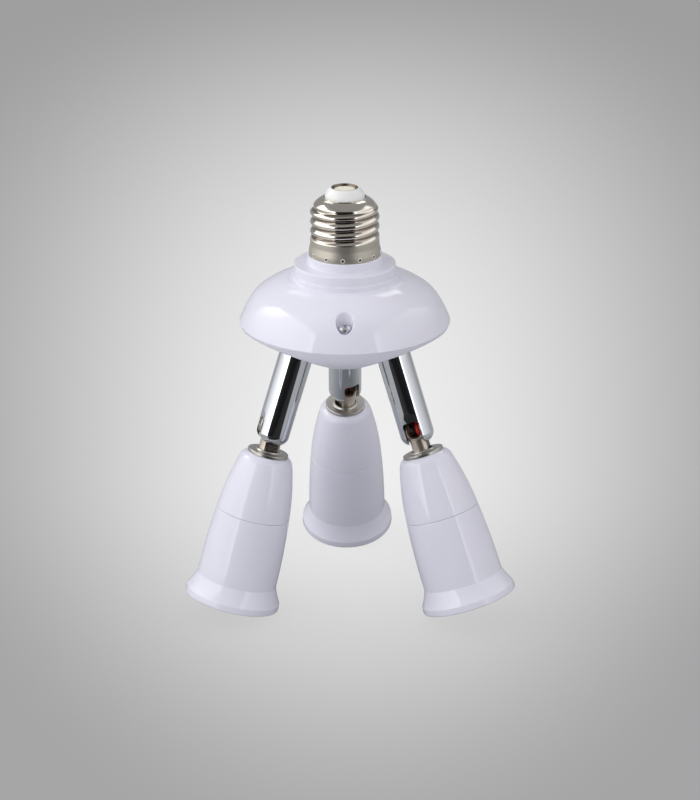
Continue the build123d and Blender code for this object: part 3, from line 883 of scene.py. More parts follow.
@dataclass(frozen=True)
class Cap:
    """Screw cap: threaded shell, crimp marks, insulator and centre contact."""

    crest_r: float = 13.1
    groove: float = 0.95
    groove_power: float = 1.15
    pitch: float = 3.7
    crest_z: float = 9.45
    thread_low: float = 4.3
    thread_full: float = 5.7
    thread_high: float = 16.4
    thread_end: float = 18.4
    wall_low: float = 3.4
    wall_top: float = 15.3
    foot_z: float = -1.6
    flare: float = 0.6
    flare_z: float = 2.6
    flare_round: float = 3.0
    shoulder_mid: Point = (11.2, 18.6)
    lip_r: float = 8.25
    lip_z: float = 20.55
    lip_h: float = 0.35
    lip_round: float = 0.12
    sheet: float = 0.4
    spigot_r: float = 12.7
    spigot_z: Point = (-0.2, 5.5)
    plug_r: float = 7.6
    plug_low: float = 19.0
    plug_brow: Point = (6.4, 23.5)
    tip_z: float = 24.5
    recess_z: float = 23.2
    contact_r: float = 5.1
    contact_depth: float = 1.05
    contact_rim: float = 0.35
    crimps: int = 13
    crimp_first: float = -93.0
    crimp_z: float = -0.35
    rim_path: tuple[Point, ...] = (
        (0.86, -0.3), (0.86, 0.08), (0.78, 0.2), (0.6, 0.2), (0.48, 0.06), (0.48, -0.3)
    )
    pit_path: tuple[Point, ...] = ((0.0, 0.06), (0.46, 0.06), (0.46, -0.3), (0.0, -0.3))
    turns: int = 224

    def shell(self) -> Mesh:
        """Rolled shell, whose thread is a helical groove that runs out above the skirt.

        Returns:
            The shell's mesh, closed through its inside.
        """
        foot_r, crest_r, lip_r = self.crest_r + self.flare, self.crest_r, self.lip_r
        skirt = rounded(
            [
                (foot_r - self.sheet, self.foot_z, 0),
                (foot_r, self.foot_z, 0.08),
                (foot_r, 0.0, self.flare_round),
                (crest_r, self.flare_z, self.flare_round),
                (crest_r, self.wall_low - 0.1, 0),
            ]
        )
        wall = [(crest_r, z) for z in np.arange(self.wall_low, self.wall_top, 0.15)]
        shoulder = arc((crest_r, self.wall_top), self.shoulder_mid, (lip_r, self.lip_z), 40)
        lip = rounded(
            [
                (lip_r, self.lip_z, 0),
                (lip_r, self.lip_z + self.lip_h, self.lip_round),
                (lip_r - self.sheet, self.lip_z + self.lip_h, self.lip_round),
                (lip_r - self.sheet, self.lip_z - 0.8, 0),
            ]
        )
        inner_r, (low, high) = crest_r - self.groove - self.sheet, self.spigot_z
        inside = [(inner_r - 0.6, self.wall_top), (inner_r, self.wall_top - 1), (inner_r, high + 0.1)]
        inside += [(self.spigot_r, high), (self.spigot_r, low)]
        r, z = np.array(skirt + wall + shoulder + lip[1:] + inside).T[..., None]
        turn = (z - self.crest_z) / self.pitch - angles(self.turns) / FULL_TURN
        wave = (0.5 - 0.5 * np.cos(FULL_TURN * turn)) ** self.groove_power
        strength = ease((z - self.thread_low) / (self.thread_full - self.thread_low))
        strength *= ease((self.thread_end - z) / (self.thread_end - self.thread_high))
        strength[len(skirt) + len(wall) + len(shoulder) :] = 0
        return Draft().turned(r - self.groove * wave * strength, z, self.turns, loop=True).mesh("cap_shell")

    def crimp(self) -> tuple[Mesh, Mesh]:
        """One punched mark of the skirt, facing along X.

        Returns:
            Its raised rim and the flat disc inside it, painted black as the pit's shade.
        """
        rim = Draft().lathe(self.rim_path, 14, loop=True).mesh("crimp_rim")
        pit = Draft().lathe(self.pit_path, 12).mesh("crimp_pit")
        for mesh in (rim, pit):
            mesh.transform(Matrix.Rotation(QUARTER, 4, "Y"))
        return rim, pit

    def insulator(self) -> Mesh:
        """White plug, conical with a round brow, with the recess for the contact.

        Returns:
            The plug's mesh.
        """
        r, tip = self.contact_r, self.tip_z
        side = arc((self.plug_r - 0.1, self.lip_z + 1.0), self.plug_brow, (r + 0.35, tip), 16)
        path = [(0.0, self.plug_low), (self.plug_r, self.plug_low), (self.plug_r, self.lip_z)] + side
        path += rounded([(*side[-1], 0), (r, tip, 0.1), (r, self.recess_z, 0), (0.0, self.recess_z, 0)])
        return Draft().lathe(path, 128).mesh("cap_insulator")

    def contact(self) -> tuple[Mesh, Mesh]:
        """Centre contact: a dish with a rolled rim, and a disc on its floor.

        Returns:
            The dish, in painted shade, and the disc, in painted light.
        """
        r, tip, floor, rim = self.contact_r, self.tip_z, self.tip_z - self.contact_depth, self.contact_rim
        wall = [(r, floor - rim, 0), (r, tip, 0.1), (r - rim, tip, 0.16), (r - 2 * rim, floor, 0.2)]
        dish = rounded([(0.0, floor - rim, 0), *wall, (0.0, floor, 0)])
        face = [(r - 1.0, floor, 0), (r - 1.2, floor + 0.3, 0.25), (0.0, floor + 0.36, 0)]
        disc = rounded([(0.0, floor, 0), *face])
        return Draft().lathe(dish, 128).mesh("centre_contact"), Draft().lathe(disc, 96).mesh("contact_disc")

    def build(self, shop: Workshop) -> None:
        """Makes the cap's pieces in the workshop.

        Args:
            shop: The workshop that takes the pieces.
        """
        dish, disc = self.contact()
        shop.piece("cap_shell_rolled", self.shell(), CAP_NICKEL, "base", ["cap_shell"], sharp=50)
        shop.piece("cap_insulator_plug", self.insulator(), GLAZE, "base", ["cap_insulator"])
        # One contact metal in two painted copies: shade on the dish's wall, light on its floor disc
        shop.piece("centre_contact_dish", dish, CONTACT_WALL_SHADE, "base", ["centre_contact"])
        shop.piece("centre_contact_disc", disc, CONTACT_FLOOR_LIT, "base")
        foot_r = self.crest_r + self.flare
        for mesh, finish in zip(self.crimp(), (CRIMP_RIM, CRIMP_PIT_SHADE)):
            ring = on_ring(mesh, shop.material(finish), self.crimps, foot_r, self.crimp_z, self.crimp_first)
            shop.piece(f"{mesh.name}s", ring, finish, "base", sharp=60)


@dataclass(frozen=True)
class Housing:
    """Domed upper moulding, faceted lower cover and the screws that join them."""

    foot_z: float = -1.6
    spigot_r: float = 12.5
    spigot_h: float = 7.0
    neck_r: float = 14.3
    neck_h: float = 3.4
    collar_r: float = 19.4
    collar_h: float = 3.7
    ledge_r: float = 20.45
    ledge_h: float = 1.2
    ledge_run: float = 1.4
    rim_r: float = 40.2
    dome_w: float = 53.05
    dome_h: float = 23.0
    brow_r: float = 33.1
    dip: float = 0.7
    dip_w: float = 4.0
    edge: float = 0.14
    band_low: float = 27.4
    band_high: float = 38.9
    pocket_ring_r: float = 33.7
    pocket_r: float = 3.25
    pocket_round: float = 0.4
    pocket_depth: float = 4.6
    pocket_turns: int = 72
    screw_count: int = 3
    screw_first: float = -90.0
    bowl_w: float = 12.0
    bowl_h: float = 9.2
    facet_tilt: float = 19.4
    undercut: float = 20.0
    undercut_power: float = 1.5
    rim_band: float = 0.95
    crease: float = 0.7
    floor_r: float = 28.0
    turns: int = 288
    head_r: float = 2.3
    head_h: float = 1.7
    head_lift: float = 1.0
    shank_r: float = 1.45
    shank_l: float = 6.0
    cross_arm: float = 1.3
    cross_half: float = 0.34
    cross_low: float = 0.75
    cross_turn: float = 20.0

    @property
    def dome_top(self) -> float:
        """Height at which the dome leaves the ledge."""
        return self.foot_z - self.neck_h - self.collar_h - self.ledge_h

    @property
    def dome_ctr(self) -> float:
        """Radius of the dome's ellipse centre, which lies beyond the axis."""
        return self.rim_r - self.dome_w

    @property
    def parting(self) -> float:
        """Height of the joint between the two mouldings."""
        cosine = (self.ledge_r - self.dome_ctr) / self.dome_w
        return self.dome_top - self.dome_h * math.sin(math.acos(cosine))

    @property
    def tilt(self) -> float:
        """Slope of the facets."""
        return math.tan(math.radians(self.facet_tilt))

    @property
    def apex(self) -> float:
        """Height at which the three facets would meet."""
        return self.parting - self.rim_r * self.tilt - self.rim_band

    @property
    def pocket_floor(self) -> float:
        """Height of the floors of the screw pockets."""
        return self.dome_z(self.pocket_ring_r) - self.pocket_depth

    def dome_z(self, r: float | np.ndarray) -> np.ndarray:
        """Section of the dome: an ellipse that ends in a crisp rim.

        Args:
            r: A radius or an array of radii.

        Returns:
            The dome's height at each radius.
        """
        span = (self.brow_r - self.dome_ctr) / self.dome_w
        brow = self.dome_h * math.sqrt(1 - span**2)
        slope = self.dome_h / self.dome_w * span / math.sqrt(1 - span**2)
        knee = brow - slope * (self.rim_r - self.brow_r) / 2
        t = np.clip((r - self.brow_r) / (self.rim_r - self.brow_r), 0, 1)
        crown = self.dome_h * np.sqrt(np.maximum(0, 1 - ((r - self.dome_ctr) / self.dome_w) ** 2))
        foot = np.clip((r - self.ledge_r) / self.dip_w, 0, 1)
        skirt = (1 - t) ** 2 * brow + 2 * t * (1 - t) * knee
        return self.parting + np.where(r > self.brow_r, skirt, crown) - self.dip * (1 - foot) ** 2

    def on_dome(self, points: Sequence[Vector], drop: float = 0.0) -> list[Corner]:
        """Flat points lifted to the dome, or to a drop below it."""
        return [(p.x, p.y, float(self.dome_z(p.length)) - drop) for p in points]

    def band(self) -> Draft:
        """Part of the dome that holds the pockets: a ring with three rounded holes.

        Returns:
            A draft of the band, the pockets' walls and their floors.
        """
        points: list[Vector] = []
        edges: list[tuple[int, int]] = []

        def add(ring: list[Vector], is_edge: bool) -> None:
            """Adds a ring of points to the band.

            Args:
                ring: The points, in order.
                is_edge: True if the band has to keep the ring's edges.
            """
            if is_edge:
                first, count = len(points), len(ring)
                edges.extend((first + k, first + (k + 1) % count) for k in range(count))
            points.extend(ring)

        mouth = [
            (self.pocket_r + self.pocket_round * (1 - math.sin(a)), self.pocket_round * (1 - math.cos(a)))
            for a in np.linspace(0, QUARTER, 6)
        ]
        hole = mouth[0][0]
        guard = hole + 0.55
        centres = circle(self.pocket_ring_r, self.screw_count, first=self.screw_first)
        radii = np.linspace(self.band_low, self.band_high, 15)
        add(circle(radii[0], self.turns), True)
        for r in radii[1:-1]:
            add([p for p in circle(r, self.turns) if all((p - c).length > guard for c in centres)], False)
        add(circle(radii[-1], self.turns), True)
        for centre in centres:
            for r in (guard - 0.2, hole):
                add(circle(r, self.pocket_turns, centre), True)
        flat, _, faces, *_ = delaunay_2d_cdt(points, edges, [], 0, 1e-6)
        draft = Draft(self.on_dome(flat))
        for face in faces:
            middle = sum((flat[n] for n in face), Vector((0, 0))) / len(face)
            in_pocket = any((middle - c).length < hole * 0.999 for c in centres)
            if self.band_low * 0.9999 < middle.length and not in_pocket:
                draft.faces.append(list(face))
        for centre in centres:
            rows = [self.on_dome(circle(r, self.pocket_turns, centre), drop) for r, drop in mouth]
            for r, lift in ((self.pocket_r, 0.3), (self.pocket_r - 0.3, 0.0), (0.0, 0.0)):
                ring = circle(r, self.pocket_turns, centre)
                rows.append([(p.x, p.y, self.pocket_floor + lift) for p in ring])
            draft.grid(np.array(rows))
        return draft

    def upper(self) -> Mesh:
        """Upper moulding: neck, stepped collar, dome and pockets.

        Returns:
            The moulding's mesh, closed at the joint.
        """
        foot, run_r = self.foot_z, self.ledge_r + self.ledge_run
        neck_z = foot - self.neck_h
        collar_z = neck_z - self.collar_h
        steps = rounded(
            [
                (0.0, foot + self.spigot_h, 0),
                (self.spigot_r, foot + self.spigot_h, 0),
                (self.spigot_r, foot, 0),
                (self.neck_r, foot, 0.4),
                (self.neck_r, neck_z, 0.5),
                (self.collar_r, neck_z, 0.55),
                (self.collar_r, collar_z, 0.25),
                (self.ledge_r, collar_z, 0.3),
                (self.ledge_r, self.dome_top - self.dip, 0.3),
                (run_r, self.dome_z(run_r), 0),
            ]
        )
        inner = [(r, self.dome_z(r)) for r in np.linspace(run_r, self.band_low, 14)]
        outer = [(r, self.dome_z(r)) for r in np.linspace(self.band_high, self.rim_r, 10)[:-1]]
        edge = (self.rim_r, self.parting, self.edge)
        rim = rounded([(*outer[-1], 0), edge, (self.rim_r - 1, self.parting, 0)])
        draft = self.band().lathe(steps + inner[1:], self.turns)
        return draft.lathe(outer + rim[1:] + [(0.0, self.parting)], self.turns).mesh("upper_housing")

    def lower(self, azimuths: Sequence[float], turns: int = 360) -> Mesh:
        """Lower cover: a bowl cut by one flat facet under each arm.

        Args:
            azimuths: Directions of the arms.
            turns: Steps round the axis.

        Returns:
            The mesh in millimetres.
        """
        turn = np.concatenate([np.linspace(0, 0.3, 26), np.linspace(0.32, QUARTER, 30)])
        sine = np.sin(turn)
        steep = math.tan(math.radians(self.undercut)) * self.bowl_h
        inset = steep * sine * (1 - sine) ** self.undercut_power
        wall_r = self.rim_r - self.bowl_w * (1 - np.cos(turn)) - inset
        floor_r = np.linspace(self.floor_r, 0.0, 60)
        low = self.rim_r - self.bowl_w
        floor_z = self.parting - self.bowl_h - (low - floor_r) * (self.parting - self.apex) / low
        r = np.concatenate([wall_r, floor_r])[:, None]
        z = np.concatenate([self.parting - self.bowl_h * sine, floor_z])[:, None]
        for azimuth in azimuths:
            facet = self.apex + r * np.cos(angles(turns) - math.radians(azimuth)) * self.tilt
            near = np.maximum(self.crease - np.abs(z - facet), 0) / self.crease
            z = np.maximum(z, facet) + near * near * self.crease / 4
        joint = np.full((2, turns), self.parting)
        r = np.concatenate([[[0.0], [self.rim_r - self.edge]], r])
        z = np.concatenate([joint, np.minimum(z, self.parting)])
        return Draft().turned(r, z, turns).mesh("lower_cover")

    def screw(self) -> Mesh:
        """One pan-head screw with a cross recess.

        Returns:
            The screw's mesh, with its axis on Z and its seat at zero.
        """
        shank, foot, head = self.shank_r, -self.shank_l, self.head_r
        arm, half = self.cross_arm, self.cross_half
        path = [(0, foot), (shank, foot), (shank, 0), (head, 0), (head, 0.7)]
        path += arc((head - 0.12, 0.8), (shank, 1.4), (0.0, self.head_h), 12)
        quarter = ((arm, -half), (arm, half), (half, half))
        turns = ((1, 0), (0, 1), (-1, 0), (0, -1))
        cross = [(x * c - y * s, x * s + y * c) for c, s in turns for x, y in quarter]
        turned = Matrix.Rotation(math.radians(self.cross_turn), 4, "Z")
        cutter = Draft().prism(cross, self.cross_low, self.head_h + 0.8, turned).mesh("cross_recess")
        return carve(Draft().lathe(path, 48).mesh("housing_screw"), [(Shaping.CUT, cutter)])

    def build(self, shop: Workshop, azimuths: Sequence[float]) -> None:
        """Makes the housing's pieces in the workshop.

        Args:
            shop: The workshop that takes the pieces.
            azimuths: Directions of the arms in degrees, each of which gets a facet.
        """
        for name, node, mesh, sharp in (
            ("upper_housing_dome", "upper_housing", self.upper(), 40),
            ("lower_cover_bowl", "lower_cover", self.lower(azimuths), 50),
        ):
            shop.piece(name, mesh, PLASTIC, "base", [node], sharp=sharp)
        seat = self.pocket_floor + self.head_lift
        ring = (self.screw_count, self.pocket_ring_r, seat, self.screw_first)
        screws = on_ring(self.screw(), shop.material(ZINC), *ring)
        shop.piece("housing_screws_cross", screws, ZINC, "base", ["housing_screws"])
        shop.dress("wire_splices", NYLON)
        shop.dress("cap_leads", WHITE_PVC)


@dataclass(frozen=True)
class Arm:
    """One arm: its place on the housing and how its holder leans.

    Attributes:
        side: Which arm it is.
        azimuth: Direction of the arm.
        slot_turn: Turn of the slot from straight outwards.
        lean_in: Lean of the holder into the slot.
        lean_across: Lean of the holder across the slot.
        wire_bow: Reach of its wires towards the slot.
        reach: Distance from the cover to the ball's centre.
        inset: Distance of the tube's foot from the cover's rim.
    """

    side: Side
    azimuth: float
    slot_turn: float
    lean_in: float
    lean_across: float
    wire_bow: float = 2.2
    reach: float = 33.4
    inset: float = 19.9

    def tube_place(self, housing: Housing) -> Matrix:
        """Finds where the tube stands under its facet.

        Args:
            housing: The housing that carries the arm.

        Returns:
            Frame at the ball's centre, with Z up the tube and X towards the slot.
        """
        around, seat_r = math.radians(self.azimuth), housing.rim_r - self.inset
        height = housing.apex + seat_r * housing.tilt
        seat = Vector((seat_r * math.cos(around), seat_r * math.sin(around), height))
        lean = Matrix.Rotation(-math.radians(housing.facet_tilt), 4, "Y")
        turned = Matrix.Rotation(around, 4, "Z") @ lean
        up = turned.to_3x3() @ Vector((0, 0, 1))
        spin = Matrix.Rotation(math.radians(self.slot_turn), 4, "Z")
        return Matrix.Translation(seat - up * self.reach) @ turned @ spin

    def holder_place(self, housing: Housing) -> Matrix:
        """Finds how the holder hangs from its ball.

        Args:
            housing: The housing that carries the arm.

        Returns:
            Frame at the ball's centre, with the holder's lean.
        """
        lean = Matrix.Rotation(math.radians(-self.lean_in), 4, "Y")
        across = Matrix.Rotation(math.radians(self.lean_across), 4, "X")
        return self.tube_place(housing) @ lean @ across


@dataclass(frozen=True)
class Swivel:
    """Tube, wires and ball stud, drawn once at the ball's centre and placed on each arm."""

    tube_r: float = 6.5
    bore_r: float = 5.3
    tube_top: float = 33.28
    tube_end: float = 5.2
    end_round: float = 4.0
    hole_r: float = 4.5
    slot_half: float = 3.35
    slot_head: float = 4.4
    slot_corner: float = 1.5
    ball_r: float = 5.2
    cavity_r: float = 3.7
    wire_bore_r: float = 2.2
    neck_r: float = 4.0
    neck_half: float = 3.0
    flat_depth: float = 2.2
    window_half: float = 2.4
    window_low: float = -2.2
    window_round: float = 2.2
    sink_depth: Point = (3.9, 5.9)
    sink_grow: float = 1.45
    lip_w: float = 0.6
    lip_h: float = 0.6
    stud_reach: float = 9.7
    washer_r: float = 7.9
    washer_h: float = 1.3
    tail: float = 17.7
    wire_r: float = 0.85
    wire_step: float = 1.15
    # Share of the bow and height of each control point of a wire, clear of the turning ball
    wire_line: tuple[Point, ...] = (
        (0, 42.0), (0, 8.0), (0, 5.0), (0.14, 3.4), (0.55, 2.0), (0.95, 0.8), (1.0, -0.4), (0.64, -1.4)
    )
    # Nodes of one arm that keep their CAD shape, with their finishes
    hidden: tuple[tuple[str, Finish], ...] = (
        ("tube_nipple", ZINC),
        ("nipple_nut", ZINC),
        ("ball_seat", BLACK_NYLON),
        ("cone_spring", SPRING),
        ("stud_nut", ZINC),
        ("holder_leads", WHITE_PVC),
        ("centre_tongue", BRASS),
    )

    def tube(self) -> Mesh:
        """Drawn tube whose end closes round the ball, with the swing slot cut in it.

        Returns:
            The tube's mesh.
        """
        turn_z, corner_r = self.end_round - self.tube_end, self.tube_r - self.end_round
        hole_z = -math.sqrt(self.bore_r**2 - self.hole_r**2)
        outer_z = turn_z - math.sqrt(self.end_round**2 - (self.hole_r - corner_r) ** 2)
        bend = sweep((corner_r, turn_z), self.end_round, 0, -QUARTER, 20)
        bend = [p for p in bend if p[0] > self.hole_r + 0.1]
        mouth = rounded([(*bend[-1], 0), (self.hole_r, outer_z, 0.15), (self.hole_r, hole_z, 0)])
        cup = sweep((0, 0), self.bore_r, math.asin(hole_z / self.bore_r), 0, 8)
        walls = [(self.tube_r, z) for z in np.linspace(self.tube_top - 0.2, turn_z, 8)[:-1]]
        top = [(self.bore_r, self.tube_top), (self.tube_r - 0.2, self.tube_top)]
        body = Draft().lathe(walls + bend + mouth[1:] + cup[1:] + top, 256, loop=True).mesh("arm_tube")
        half, size, foot = self.slot_half, self.slot_corner, -self.tube_end - 1
        corner = sweep((half - size, self.slot_head - size), size, 0, QUARTER, 9)
        outline = [(half, foot), *corner, *((-y, z) for y, z in reversed(corner)), (-half, foot)]
        cutter = Draft().prism(outline, 0.0, self.tube_r + 2, OUTWARDS).mesh("slot")
        return carve(body, [(Shaping.CUT, cutter)], bevel=0.1)

    def stud(self) -> Mesh:
        """Hollow ball with a countersunk wire window, and a flatted shank on a threaded tail.

        Returns:
            The mesh in millimetres, with its milled flats marked.
        """
        neck, tail, foot = self.neck_r, -self.tail, -self.stud_reach - self.flat_depth
        stem = Draft().lathe(rounded([(0, foot, 0), (neck, foot, 0), (neck, tail, 0.4), (0, tail, 0)]), 96)
        ball, cavity = [
            Draft().lathe(arc((0, r), (r, 0), (0, -r), spans), turns)
            for r, spans, turns in ((self.ball_r, 48, 96), (self.cavity_r, 24, 48))
        ]
        flat = math.asin(self.neck_half / neck)
        right = sweep((0, 0), neck, -flat, flat, 21)
        shank = Draft().prism(right + [(-x, -y) for x, y in right], foot - 0.1, -3.0, Matrix.Identity(4))
        bore_r, end = self.wire_bore_r, tail - 1
        bore = Draft().lathe([(0, 0), (bore_r, 0), (bore_r, end), (0, end)], 40)
        half, size, top = self.window_half, self.window_round, self.ball_r + 1
        base = sweep((half - size, self.window_low + size), size, -QUARTER, 0, 9)
        outline = [(half, top), (-half, top), *((-y, z) for y, z in reversed(base)), *base]
        window = Draft().prism(outline, -1.5, top, OUTWARDS)
        sink = Draft().prism(outline, *self.sink_depth, OUTWARDS, self.sink_grow)
        steps = [(Shaping.JOIN, draft.mesh("added")) for draft in (ball, shank)]
        steps += [(Shaping.CUT, draft.mesh("cut")) for draft in (cavity, bore, window, sink)]
        made = carve(stem.mesh("ball_stud"), steps, bevel=0.08)
        mark = made.attributes.new(MilledMetal.mark, "FLOAT", "FACE")
        for face in made.polygons:
            on_flat = abs(face.normal.y) > 0.98 and abs(abs(face.center.y) - self.neck_half) < 0.1
            mark.data[face.index].value = float(on_flat)
        return made

    def washer(self) -> Mesh:
        """Washer with a broken upper edge and the raised lip of its punched hole.

        Returns:
            The washer's mesh.
        """
        low, inner = -self.stud_reach, self.neck_r + 0.1
        high, lip_r = low + self.washer_h, inner + self.lip_w
        path = rounded(
            [
                (inner, low, 0),
                (self.washer_r, low, 0.15),
                (self.washer_r, high, 0.35),
                (lip_r + 0.35, high, 0.3),
                (lip_r, high + self.lip_h, 0.25),
                (inner, high + self.lip_h, 0.15),
                (inner, low + 0.2, 0),
            ]
        )
        return Draft().lathe(path, 160, loop=True).mesh("holder_washer")

    def build(self, shop: Workshop, arms: Sequence[Arm], housing: Housing) -> None:
        """Makes the tubes, wires, studs and washers of all arms.

        Args:
            shop: Where the pieces are finished.
            arms: The arms.
            housing: Where they stand.
        """
        tube, stud, washer = self.tube(), self.stud(), self.washer()
        wires = (
            ("live_wire", self.wire_step, RED_PVC, Slot.RED_WIRE),
            ("neutral_wire", -self.wire_step, BLACK_PVC, Slot.BLACK_WIRE),
        )
        for arm in arms:
            side, upright, leant = arm.side.value, arm.tube_place(housing), arm.holder_place(housing)
            rows = [("tube_chromed", "arm_tube", tube, CHROME, Slot.CHROME, "arm", upright, 35)]
            for node, step, finish, slot in wires:
                line = [(arm.wire_bow * x, step, z) for x, z in self.wire_line]
                wire = cord(line, self.wire_r, "wire")
                rows.append((f"{node}_bowed", node, wire, finish, slot, "arm", upright, 30))
            rows += [
                ("stud_plated", "ball_stud", stud, STUD_NICKEL, Slot.STUD, "holder", leant, 35),
                ("washer_punched", "holder_washer", washer, WASHER_NICKEL, Slot.STUD, "holder", leant, 30),
            ]
            for name, node, mesh, finish, slot, body, place, sharp in rows:
                stands_for = [f"{side}_{node}"]
                shop.piece(f"{side}_{name}", mesh, finish, f"{side}_{body}", stands_for, place, sharp)
            for node, finish in self.hidden:
                shop.dress(f"{side}_{node}", finish)


@dataclass(frozen=True)
class Holder:
    """Lamp holder: bullet cap, flanged sleeve, contact base, threaded shell and rivets.

    Its points are a radius and a depth below the holder's top face.
    """

    stud_reach: float = 9.7
    top_r: float = 8.15
    crown: Point = (9.85, 0.88)
    brow: Point = (10.35, 2.6)
    waist: Point = (13.15, 15.0)
    joint: Point = (14.25, 24.1)
    joint_edge: float = 0.26
    joint_gap: float = 0.1
    plug_r: float = 12.1
    plug_s: float = 18.2
    plug_bore_r: float = 10.5
    cap_wall: Point = (11.4, 15.0)
    cap_bore_r: float = 4.1
    cap_h: float = 2.5
    middle: Point = (15.16, 36.85)
    flare: Point = (15.5, 51.0)
    flare_round: float = 0.5
    bend: Point = (16.5, 53.7)
    flange_r: float = 18.45
    flange_s: float = 57.3
    flange_edge: float = 0.45
    length: float = 59.88
    bore_r: float = 13.85
    web_s: float = 29.5
    base_r: float = 13.7
    base_h: float = 2.4
    shell_r: float = 13.35
    shell_neck_r: float = 12.3
    shell_neck_s: float = 36.5
    shell_foot_s: float = 57.7
    shell_hole_r: float = 7.0
    sheet: float = 0.4
    pitch: float = 3.63
    thread: float = 0.85
    thread_run: float = 1.2
    rivet_r: float = 1.6
    rivet_h: float = 0.8
    rivet_shank_r: float = 1.0
    # Distance along X and grip of each rivet
    rivet_spots: tuple[Point, ...] = ((-4.9, 0.5), (8.8, 0.4))

    def down(self, points: Sequence[Point]) -> list[Point]:
        """Turns depths below the holder's top face to heights at the ball's centre."""
        return [(r, -(self.stud_reach + s)) for r, s in points]

    def cap(self) -> Mesh:
        """Bullet-shaped upper moulding with a broken edge at the joint.

        Returns:
            The moulding's mesh.
        """
        crown = bent((self.top_r, 0), self.crown, self.brow)
        side = arc(self.brow, self.waist, self.joint, 48)
        foot, wall_r, top = self.joint[1] - self.joint_gap, self.plug_r + 0.1, self.plug_s - 0.1
        edge = (self.joint[0], foot, self.joint_edge)
        skirt = rounded([(*side[-2], 0), edge, (wall_r, foot, 0), (wall_r, top, 0)])
        inside = arc((wall_r - 0.2, top), self.cap_wall, (self.top_r, self.cap_h), 12)
        inside += [(self.cap_bore_r, self.cap_h), (self.cap_bore_r, 0.0)]
        path = crown + side[1:-1] + skirt[1:] + inside
        return Draft().lathe(self.down(path), 224, loop=True).mesh("holder_cap")

    def sleeve(self) -> Mesh:
        """Lower moulding: plug, barrel, concave flare and thin-lipped flange.

        Returns:
            The moulding's mesh.
        """
        barrel = arc(self.joint, self.middle, self.flare, 48)
        start = rounded([(self.plug_r, self.joint[1], 0), (*self.joint, self.joint_edge), (*barrel[2], 0)])
        hollow = arc(self.flare, self.bend, (self.flange_r - 0.15, self.flange_s), 20)
        crease = rounded([(*barrel[-2], 0), (*barrel[-1], self.flare_round), (*hollow[2], 0)])
        lip = rounded(
            [
                (*hollow[-2], 0),
                (*hollow[-1], self.flange_edge),
                (self.flange_r, self.length, 0.5),
                (self.bore_r + 0.35, self.length, 0.3),
                (self.bore_r, self.length - 1.18, 0.4),
                (self.bore_r, self.web_s, 0),
                (self.plug_bore_r, self.web_s, 0),
                (self.plug_bore_r, self.plug_s, 0),
                (self.plug_r, self.plug_s, 0),
            ]
        )
        path = start + barrel[3:-1] + crease[1:-1] + hollow[2:-1] + lip[1:]
        return Draft().lathe(self.down(path), 224, loop=True).mesh("holder_sleeve")

    def base(self) -> Mesh:
        """Insulating disc over the contacts, with a broken lower edge.

        Returns:
            The disc's mesh.
        """
        r, top, foot = self.base_r, self.web_s, self.web_s + self.base_h
        path = rounded([(0, top, 0), (r, top, 0), (r, foot, 0.3), (0, foot, 0)])
        return Draft().lathe(self.down(path), 96).mesh("contact_base")

    def shell(self, turns: int = 160) -> Mesh:
        """Rolled screw shell, whose thread stands in from its wall.

        Args:
            turns: Number of points round it.

        Returns:
            The shell's mesh.
        """
        top, hole, sheet = self.web_s + self.base_h, self.shell_hole_r, self.sheet
        neck_r, neck_s = self.shell_neck_r, self.shell_neck_s
        outer_r = neck_r + sheet
        upper = [(hole, top + 0.02), (outer_r, top + 0.02), (outer_r, neck_s - 0.5)]
        depths = np.linspace(neck_s, self.shell_foot_s, 110)
        wall = [(self.shell_r + sheet, s) for s in depths] + [(self.shell_r, s) for s in depths[::-1]]
        lower = [(neck_r, neck_s + 0.2), (neck_r, top + sheet), (hole, top + sheet)]
        r, z = np.array(self.down(upper + wall + lower)).T[..., None]
        s = -z - self.stud_reach
        wave = 0.5 - 0.5 * np.cos(FULL_TURN * z / self.pitch - angles(turns))
        near = np.clip((s - neck_s - 0.4) / self.thread_run, 0, 1)
        near *= np.clip((self.shell_foot_s - 0.3 - s) / self.thread_run, 0, 1)
        near[: len(upper)] = 0
        near[-len(lower) :] = 0
        return Draft().turned(r - self.thread * wave * near, z, turns, loop=True).mesh("screw_shell")

    def rivets(self) -> Mesh:
        """Two rivets with domed heads above and below the base.

        Returns:
            Both rivets in one mesh.
        """
        draft, r, h, shank = Draft(), self.rivet_r, self.rivet_h, self.rivet_shank_r
        for x, grip in self.rivet_spots:
            top, foot = self.web_s, self.web_s + self.base_h + grip
            path = arc((0.0, top - h), (1.1, top - 0.62), (r, top - 0.05), 6) + [(shank, top), (shank, foot)]
            path += arc((r, foot + 0.05), (1.1, foot + 0.62), (0.0, foot + h), 6)
            first = len(draft.points)
            draft.lathe(self.down(path), 32)
            draft.points[first:] = [(p[0] + x, p[1], p[2]) for p in draft.points[first:]]
        return draft.mesh("contact_rivets")

    def build(self, shop: Workshop, arms: Sequence[Arm], housing: Housing) -> None:
        """Makes the holders of all arms.

        Args:
            shop: Where the pieces are finished.
            arms: The arms.
            housing: Where they stand.
        """
        rows = (
            ("cap_bullet", "holder_cap", self.cap(), PLASTIC, Slot.PLASTIC),
            ("sleeve_flanged", "holder_sleeve", self.sleeve(), PLASTIC, Slot.PLASTIC),
            ("base_disc", "contact_base", self.base(), FIBRE, Slot.FIBRE),
            ("shell_rolled", "screw_shell", self.shell(), SHELL_NICKEL, Slot.SHELL),
            ("rivets_domed", "contact_rivets", self.rivets(), BRASS, Slot.BRASS),
        )
        for arm in arms:
            side, leant = arm.side.value, arm.holder_place(housing)
            for name, node, mesh, finish, slot in rows:
                stands_for = [f"{side}_{node}"]
                shop.piece(f"{side}_{name}", mesh, finish, f"{side}_holder", stands_for, leant, 40)


# Stage


